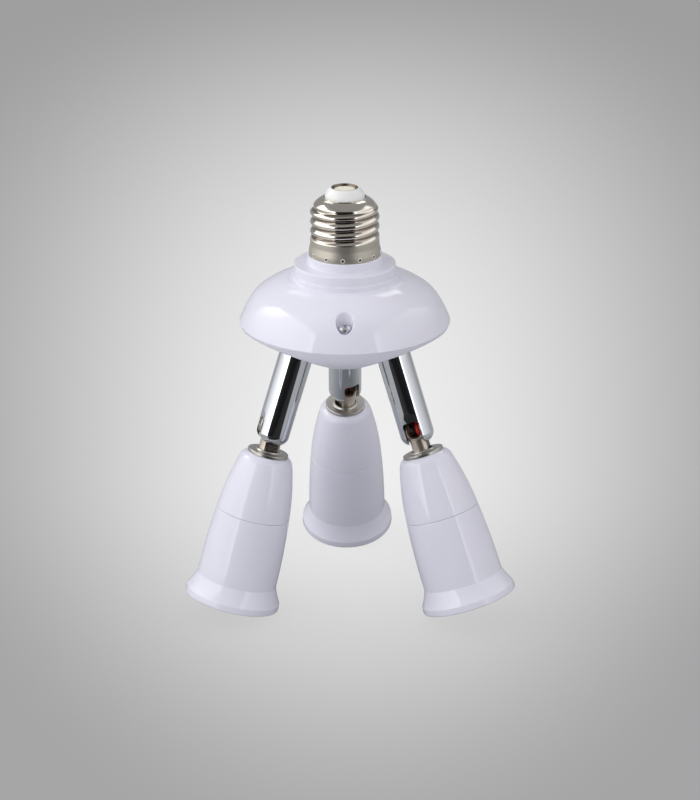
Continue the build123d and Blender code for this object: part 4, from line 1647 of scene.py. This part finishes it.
def stage_plane(
    name: str, corners: Sequence[Corner], material: Material, hidden: Sequence[Ray] = ()
) -> None:
    """Adds a flat stage piece.

    Args:
        name: Name of the piece.
        corners: Its corners in metres.
        material: Its material.
        hidden: Kinds of ray that pass it by.
    """
    mesh = bpy.data.meshes.new(name)
    mesh.from_pydata(corners, [], [list(range(len(corners)))])
    mesh.materials.append(material)
    obj = temporary(mesh, name)
    for ray in hidden:
        setattr(obj, f"visible_{ray.value}", False)
    obj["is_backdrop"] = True


@dataclass(frozen=True)
class Softbox:
    """One flat studio lamp.

    Attributes:
        name: Name of the lamp.
        place: Its centre in metres.
        size: Width and height in metres.
        power: Power in watts.
        aim: Point that it faces.
        mirrored: False if glossy surfaces don't show it.
    """

    name: str
    place: Corner
    size: Point
    power: float
    aim: Corner = (0.0, 0.0, 0.0)
    mirrored: bool = True

    def build(self) -> None:
        """Makes the lamp."""
        data = bpy.data.lights.new(self.name, "AREA")
        data.shape = "RECTANGLE"
        data.size, data.size_y = self.size
        data.energy = self.power
        lamp = temporary(data, self.name)
        lamp.location = self.place
        lamp.visible_glossy = self.mirrored
        lamp.rotation_mode = "QUATERNION"
        lamp.rotation_quaternion = (Vector(self.aim) - Vector(self.place)).to_track_quat("-Z", "Y")


@dataclass(frozen=True)
class Panel:
    """Upright diffuser beside the part, brighter to the front, with the glow of its lamp.

    Attributes:
        name: Name of the panel.
        x: Its distance to the right, in metres.
        levels: Brightness of its foot at the front and at the back end, where one is white.
        upper: Brightness of its upper half.
        edge: Extra brightness of its front edge, which draws the stripes on the mouldings.
        glow: Brightness that the lamp adds at its middle.
        y: Its front and back ends.
        top: Its upper edge.
        foot: Heights between which the foot gives way to the upper half.
        edge_w: Width of the front edge.
        glow_place: Place of the lamp's middle along Y and Z.
        glow_r: Reach of the glow.
        colour: Colour of the cloth.
    """

    name: str
    x: float
    levels: Point
    upper: float
    edge: float
    glow: float
    y: Point = (-0.965, 0.53)
    top: float = 0.82
    foot: Point = (0.05, 0.3)
    edge_w: float = 0.32
    glow_place: Point = (0.32, 0.6)
    glow_r: float = 0.38
    colour: str = "#fdfdff"

    def build(self, floor_level: float) -> None:
        """Makes the panel, which stands on the floor.

        Args:
            floor_level: Height of the floor in metres.
        """
        material, tree = new_material(f"{self.name}_cloth", bare=True)
        place = add_node(tree, "ShaderNodeTexCoord").outputs["Object"]
        axes = add_node(tree, "ShaderNodeSeparateXYZ", {"Vector": place}).outputs
        middle = (self.x, *self.glow_place)
        lamp = add_node(tree, "ShaderNodeVectorMath", {0: place, 1: middle}, operation="DISTANCE")
        (front, back), low = self.y, floor_level + MM
        foot, height, edge, glow = [
            add_node(
                tree,
                "ShaderNodeMapRange",
                {"Value": value, "From Min": start, "From Max": end, "To Min": first, "To Max": last},
                interpolation_type=kind,
            )
            for value, start, end, first, last, kind in (
                (axes["Y"], front, back, *self.levels, "LINEAR"),
                (axes["Z"], *self.foot, 0.0, 1.0, "LINEAR"),
                (axes["Y"], front, front + self.edge_w, self.edge, 0.0, "LINEAR"),
                (lamp, 0.0, self.glow_r, self.glow, 0.0, "SMOOTHSTEP"),
            )
        ]
        level = add_node(tree, "ShaderNodeMix", {"Factor": height, "A": foot, "B": self.upper})
        even = add_node(tree, "ShaderNodeMath", {0: level, 1: edge}, operation="ADD")
        total = add_node(tree, "ShaderNodeMath", {0: even, 1: glow}, operation="ADD")
        light = add_node(tree, "ShaderNodeEmission", {"Color": linear(self.colour), "Strength": total})
        connect(tree.nodes["Material Output"], {"Surface": light})
        ends = ((front, low), (back, low), (back, self.top), (front, self.top))
        stage_plane(self.name, [(self.x, *end) for end in ends], material, (Ray.CAMERA, Ray.SHADOW))


@dataclass(frozen=True)
class Studio:
    """Camera, lamps, floor and world of the photo.

    Attributes:
        pool_place: Middle of the floor's pool of light along X and Y.
        pool_reach: Its reach to the sides, to the front and to the back.
        pool_widen: How much wider it is for each metre to the back.
        glow: Share of the floor's brightness that is even, next to the share that takes shadows.
        shade_reach: Distances between which the floor that the metal mirrors clears of the part's shade.
    """

    camera_place: Corner = (0.001975, -0.92858, 0.29897)
    camera_tilt: float = 68.804
    lens: float = 115.86
    panels: tuple[Panel, ...] = (
        Panel("panel_left", -0.7, (2.1, 0.4), 1.95, 1.4, 4.0),
        Panel("panel_right", 0.7, (1.2, 0.3), 1.05, 1.6, 0.4),
    )
    lamps: tuple[Softbox, ...] = (
        Softbox("strip_left", (-0.34, 0.7, 0.79), (0.16, 0.34), 0.26),
        Softbox("strip_right", (0.34, 0.7, 0.79), (0.16, 0.34), 0.42),
        Softbox("overhead", (0.0, -0.1, 1.1), (1.0, 1.0), 1.9, mirrored=False),
        Softbox("front_fill", (0.0, -1.08, 0.4), (1.0, 0.6), 1.6, (0.0, 0.0, -0.05), mirrored=False),
    )
    floor_bright: str = "#ffffff"
    floor_dark: str = "#a6a6a6"
    floor_matt: str = "#aaaaaf"
    floor_half: float = 4.0
    pool_place: Point = (0.004, 0.117)
    pool_reach: Corner = (0.21, 0.355, 1.14)
    pool_widen: float = 0.2
    glow: float = 0.8
    shade_dark: str = "#6c6e6e"
    shade_pale: str = "#b4b5b5"
    shade_x: float = 0.02
    shade_reach: Point = (0.03, 0.16)
    world_colour: str = "#f4f5f8"
    world_level: float = 0.35
    card_black: str = "#060607"
    flag_y: float = -0.97
    flag_half: float = 0.69
    flag_top: float = 1.0
    apron_y: float = -0.1
    apron_half: float = 0.08
    back_half: float = 0.3
    back_y: float = 1.0
    back_z: Point = (0.45, 1.0)
    back_level: float = 1.0

    def camera(self) -> None:
        """Makes the camera at the photo's viewing angle."""
        data = bpy.data.cameras.new("photo_camera")
        data.lens = self.lens
        data.clip_start, data.clip_end = 0.01, 50
        camera = temporary(data, "photo_camera")
        camera.location = self.camera_place
        camera.rotation_euler = Euler((math.radians(self.camera_tilt), 0, 0))
        bpy.context.scene.camera = camera

    def floor_colour(self, tree: NodeTree, level: float) -> Any:
        """Colour of the floor: a pool of light to the camera, and the part's shade to the metal.

        Args:
            tree: The floor material's nodes.
            level: Height of the floor in metres.

        Returns:
            The node of the colour.
        """
        place = add_node(tree, "ShaderNodeTexCoord").outputs["Object"]
        middle, foot = (*self.pool_place, 0.0), (self.shade_x, 0.0, level)
        offset = add_node(tree, "ShaderNodeVectorMath", {0: place, 1: middle}, operation="SUBTRACT")
        axes = add_node(tree, "ShaderNodeSeparateXYZ", {"Vector": offset}).outputs
        side, near, far = self.pool_reach
        widen = {0: axes["Y"], 1: self.pool_widen, 2: side}
        width = add_node(tree, "ShaderNodeMath", widen, operation="MULTIPLY_ADD")
        across, behind, before = [
            add_node(tree, "ShaderNodeMath", {0: axes[axis], 1: reach}, operation="DIVIDE")
            for axis, reach in (("X", width), ("Y", far), ("Y", -near))
        ]
        along = add_node(tree, "ShaderNodeMath", {0: behind, 1: before}, operation="MAXIMUM")
        spread = add_node(tree, "ShaderNodeCombineXYZ", {"X": across, "Y": along})
        span = add_node(tree, "ShaderNodeVectorMath", {0: spread}, operation="LENGTH")
        away = add_node(tree, "ShaderNodeVectorMath", {0: place, 1: foot}, operation="DISTANCE")
        pool, mirrored = [
            add_node(
                tree,
                "ShaderNodeMix",
                {
                    "Factor": add_node(
                        tree,
                        "ShaderNodeMapRange",
                        {"Value": value, "From Min": start, "From Max": end},
                        interpolation_type=kind,
                    ),
                    "A": linear(first),
                    "B": linear(last),
                },
                data_type="RGBA",
            )
            for value, start, end, kind, first, last in (
                (span, 0.0, 1.0, "SMOOTHSTEP", self.floor_bright, self.floor_dark),
                (away, *self.shade_reach, "LINEAR", self.shade_dark, self.shade_pale),
            )
        ]
        seen = add_node(tree, "ShaderNodeLightPath").outputs["Is Camera Ray"]
        return add_node(tree, "ShaderNodeMix", {"Factor": seen, "A": mirrored, "B": pool}, data_type="RGBA")

    def floor(self, level: float) -> None:
        """Pale floor that keeps the part's soft shadow and is open from below.

        Args:
            level: Height of the floor in metres.
        """
        material, tree = new_material("pale_floor", bare=True)
        ray = add_node(tree, "ShaderNodeLightPath").outputs
        clear = ray["Is Camera Ray"]
        for kind in ("Is Glossy Ray", "Is Transmission Ray"):
            clear = add_node(tree, "ShaderNodeMath", {0: clear, 1: ray[kind]}, operation="MAXIMUM")
        share = add_node(tree, "ShaderNodeMath", {0: clear, 1: self.glow}, operation="MULTIPLY")
        matt = add_node(tree, "ShaderNodeBsdfDiffuse", {"Color": linear(self.floor_matt)})
        colour = self.floor_colour(tree, level)
        glow = add_node(tree, "ShaderNodeEmission", {"Color": colour, "Strength": 1.0})
        mixed = add_node(tree, "ShaderNodeMixShader", {0: share, 1: matt, 2: glow})
        below = add_node(tree, "ShaderNodeNewGeometry").outputs["Backfacing"]
        open_side = {0: below, 1: mixed, 2: add_node(tree, "ShaderNodeBsdfTransparent")}
        connect(tree.nodes["Material Output"], {"Surface": add_node(tree, "ShaderNodeMixShader", open_side)})
        half = self.floor_half
        corners = [(x * half, y * half, level) for x, y in ((-1, -1), (1, -1), (1, 1), (-1, 1))]
        stage_plane("floor", corners, material)

    def cards(self, level: float) -> None:
        """Black cards in front of the part and a white one behind it, which only its gloss shows.

        Args:
            level: Height of the floor in metres.
        """
        black, tree = new_material("matt_black_card")
        connect(tree.nodes["Principled BSDF"], {"Base Color": linear(self.card_black), "Roughness": 0.9})
        white, tree = new_material("white_card")
        lit = {"Emission Color": linear("#ffffff"), "Emission Strength": self.back_level}
        connect(tree.nodes["Principled BSDF"], {"Base Color": linear("#000000"), **lit})
        low = level + MM
        flag, apron = (self.flag_half, self.flag_y, low), (self.apron_half, self.apron_y, low)
        (foot, head), side, back = self.back_z, self.back_half, self.back_y
        for name, material, first, last in (
            ("black_card", black, flag, (self.flag_half, self.flag_y, self.flag_top)),
            ("black_apron", black, flag, apron),
            ("white_card", white, (side, back, foot), (side, back, head)),
        ):
            corners = [(-first[0], *first[1:]), first, last, (-last[0], *last[1:])]
            stage_plane(name, corners, material, tuple(Ray))

    def build(self, floor_level: float) -> None:
        """Makes the whole stage: camera, lamps, panels, floor, cards and world.

        Args:
            floor_level: Height of the floor in metres.
        """
        self.camera()
        for lamp in self.lamps:
            lamp.build()
        for panel in self.panels:
            panel.build(floor_level)
        self.floor(floor_level)
        self.cards(floor_level)
        scene = bpy.context.scene
        scene.world = bpy.data.worlds.new("studio")
        scene.world.use_nodes = True
        even = {"Color": linear(self.world_colour), "Strength": self.world_level}
        connect(scene.world.node_tree.nodes["Background"], even)
        scene.view_settings.view_transform = "Standard"


def main() -> None:
    """Builds the sub-assemblies in order and reports them."""
    logging.basicConfig(level=logging.INFO, format="%(name)s: %(message)s")
    bpy.ops.wm.read_factory_settings(use_empty=True)
    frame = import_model()
    cad_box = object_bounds()
    shop = Workshop(frame)
    arms = (
        Arm(Side.LEFT, 210.0, -16.9, -3.2, -1.1),
        Arm(Side.MIDDLE, 90.0, -150.6, 2.8, -0.8, wire_bow=0.2),
        Arm(Side.RIGHT, 330.0, -71.0, 2.2, 1.3),
    )
    housing = Housing()
    Cap().build(shop)
    housing.build(shop, [arm.azimuth for arm in arms])
    Swivel().build(shop, arms, housing)
    Holder().build(shop, arms, housing)
    Studio().build(cad_box[0].z)
    LOG.info("made %d pieces", len(shop.made))


if __name__ == "__main__":
    main()
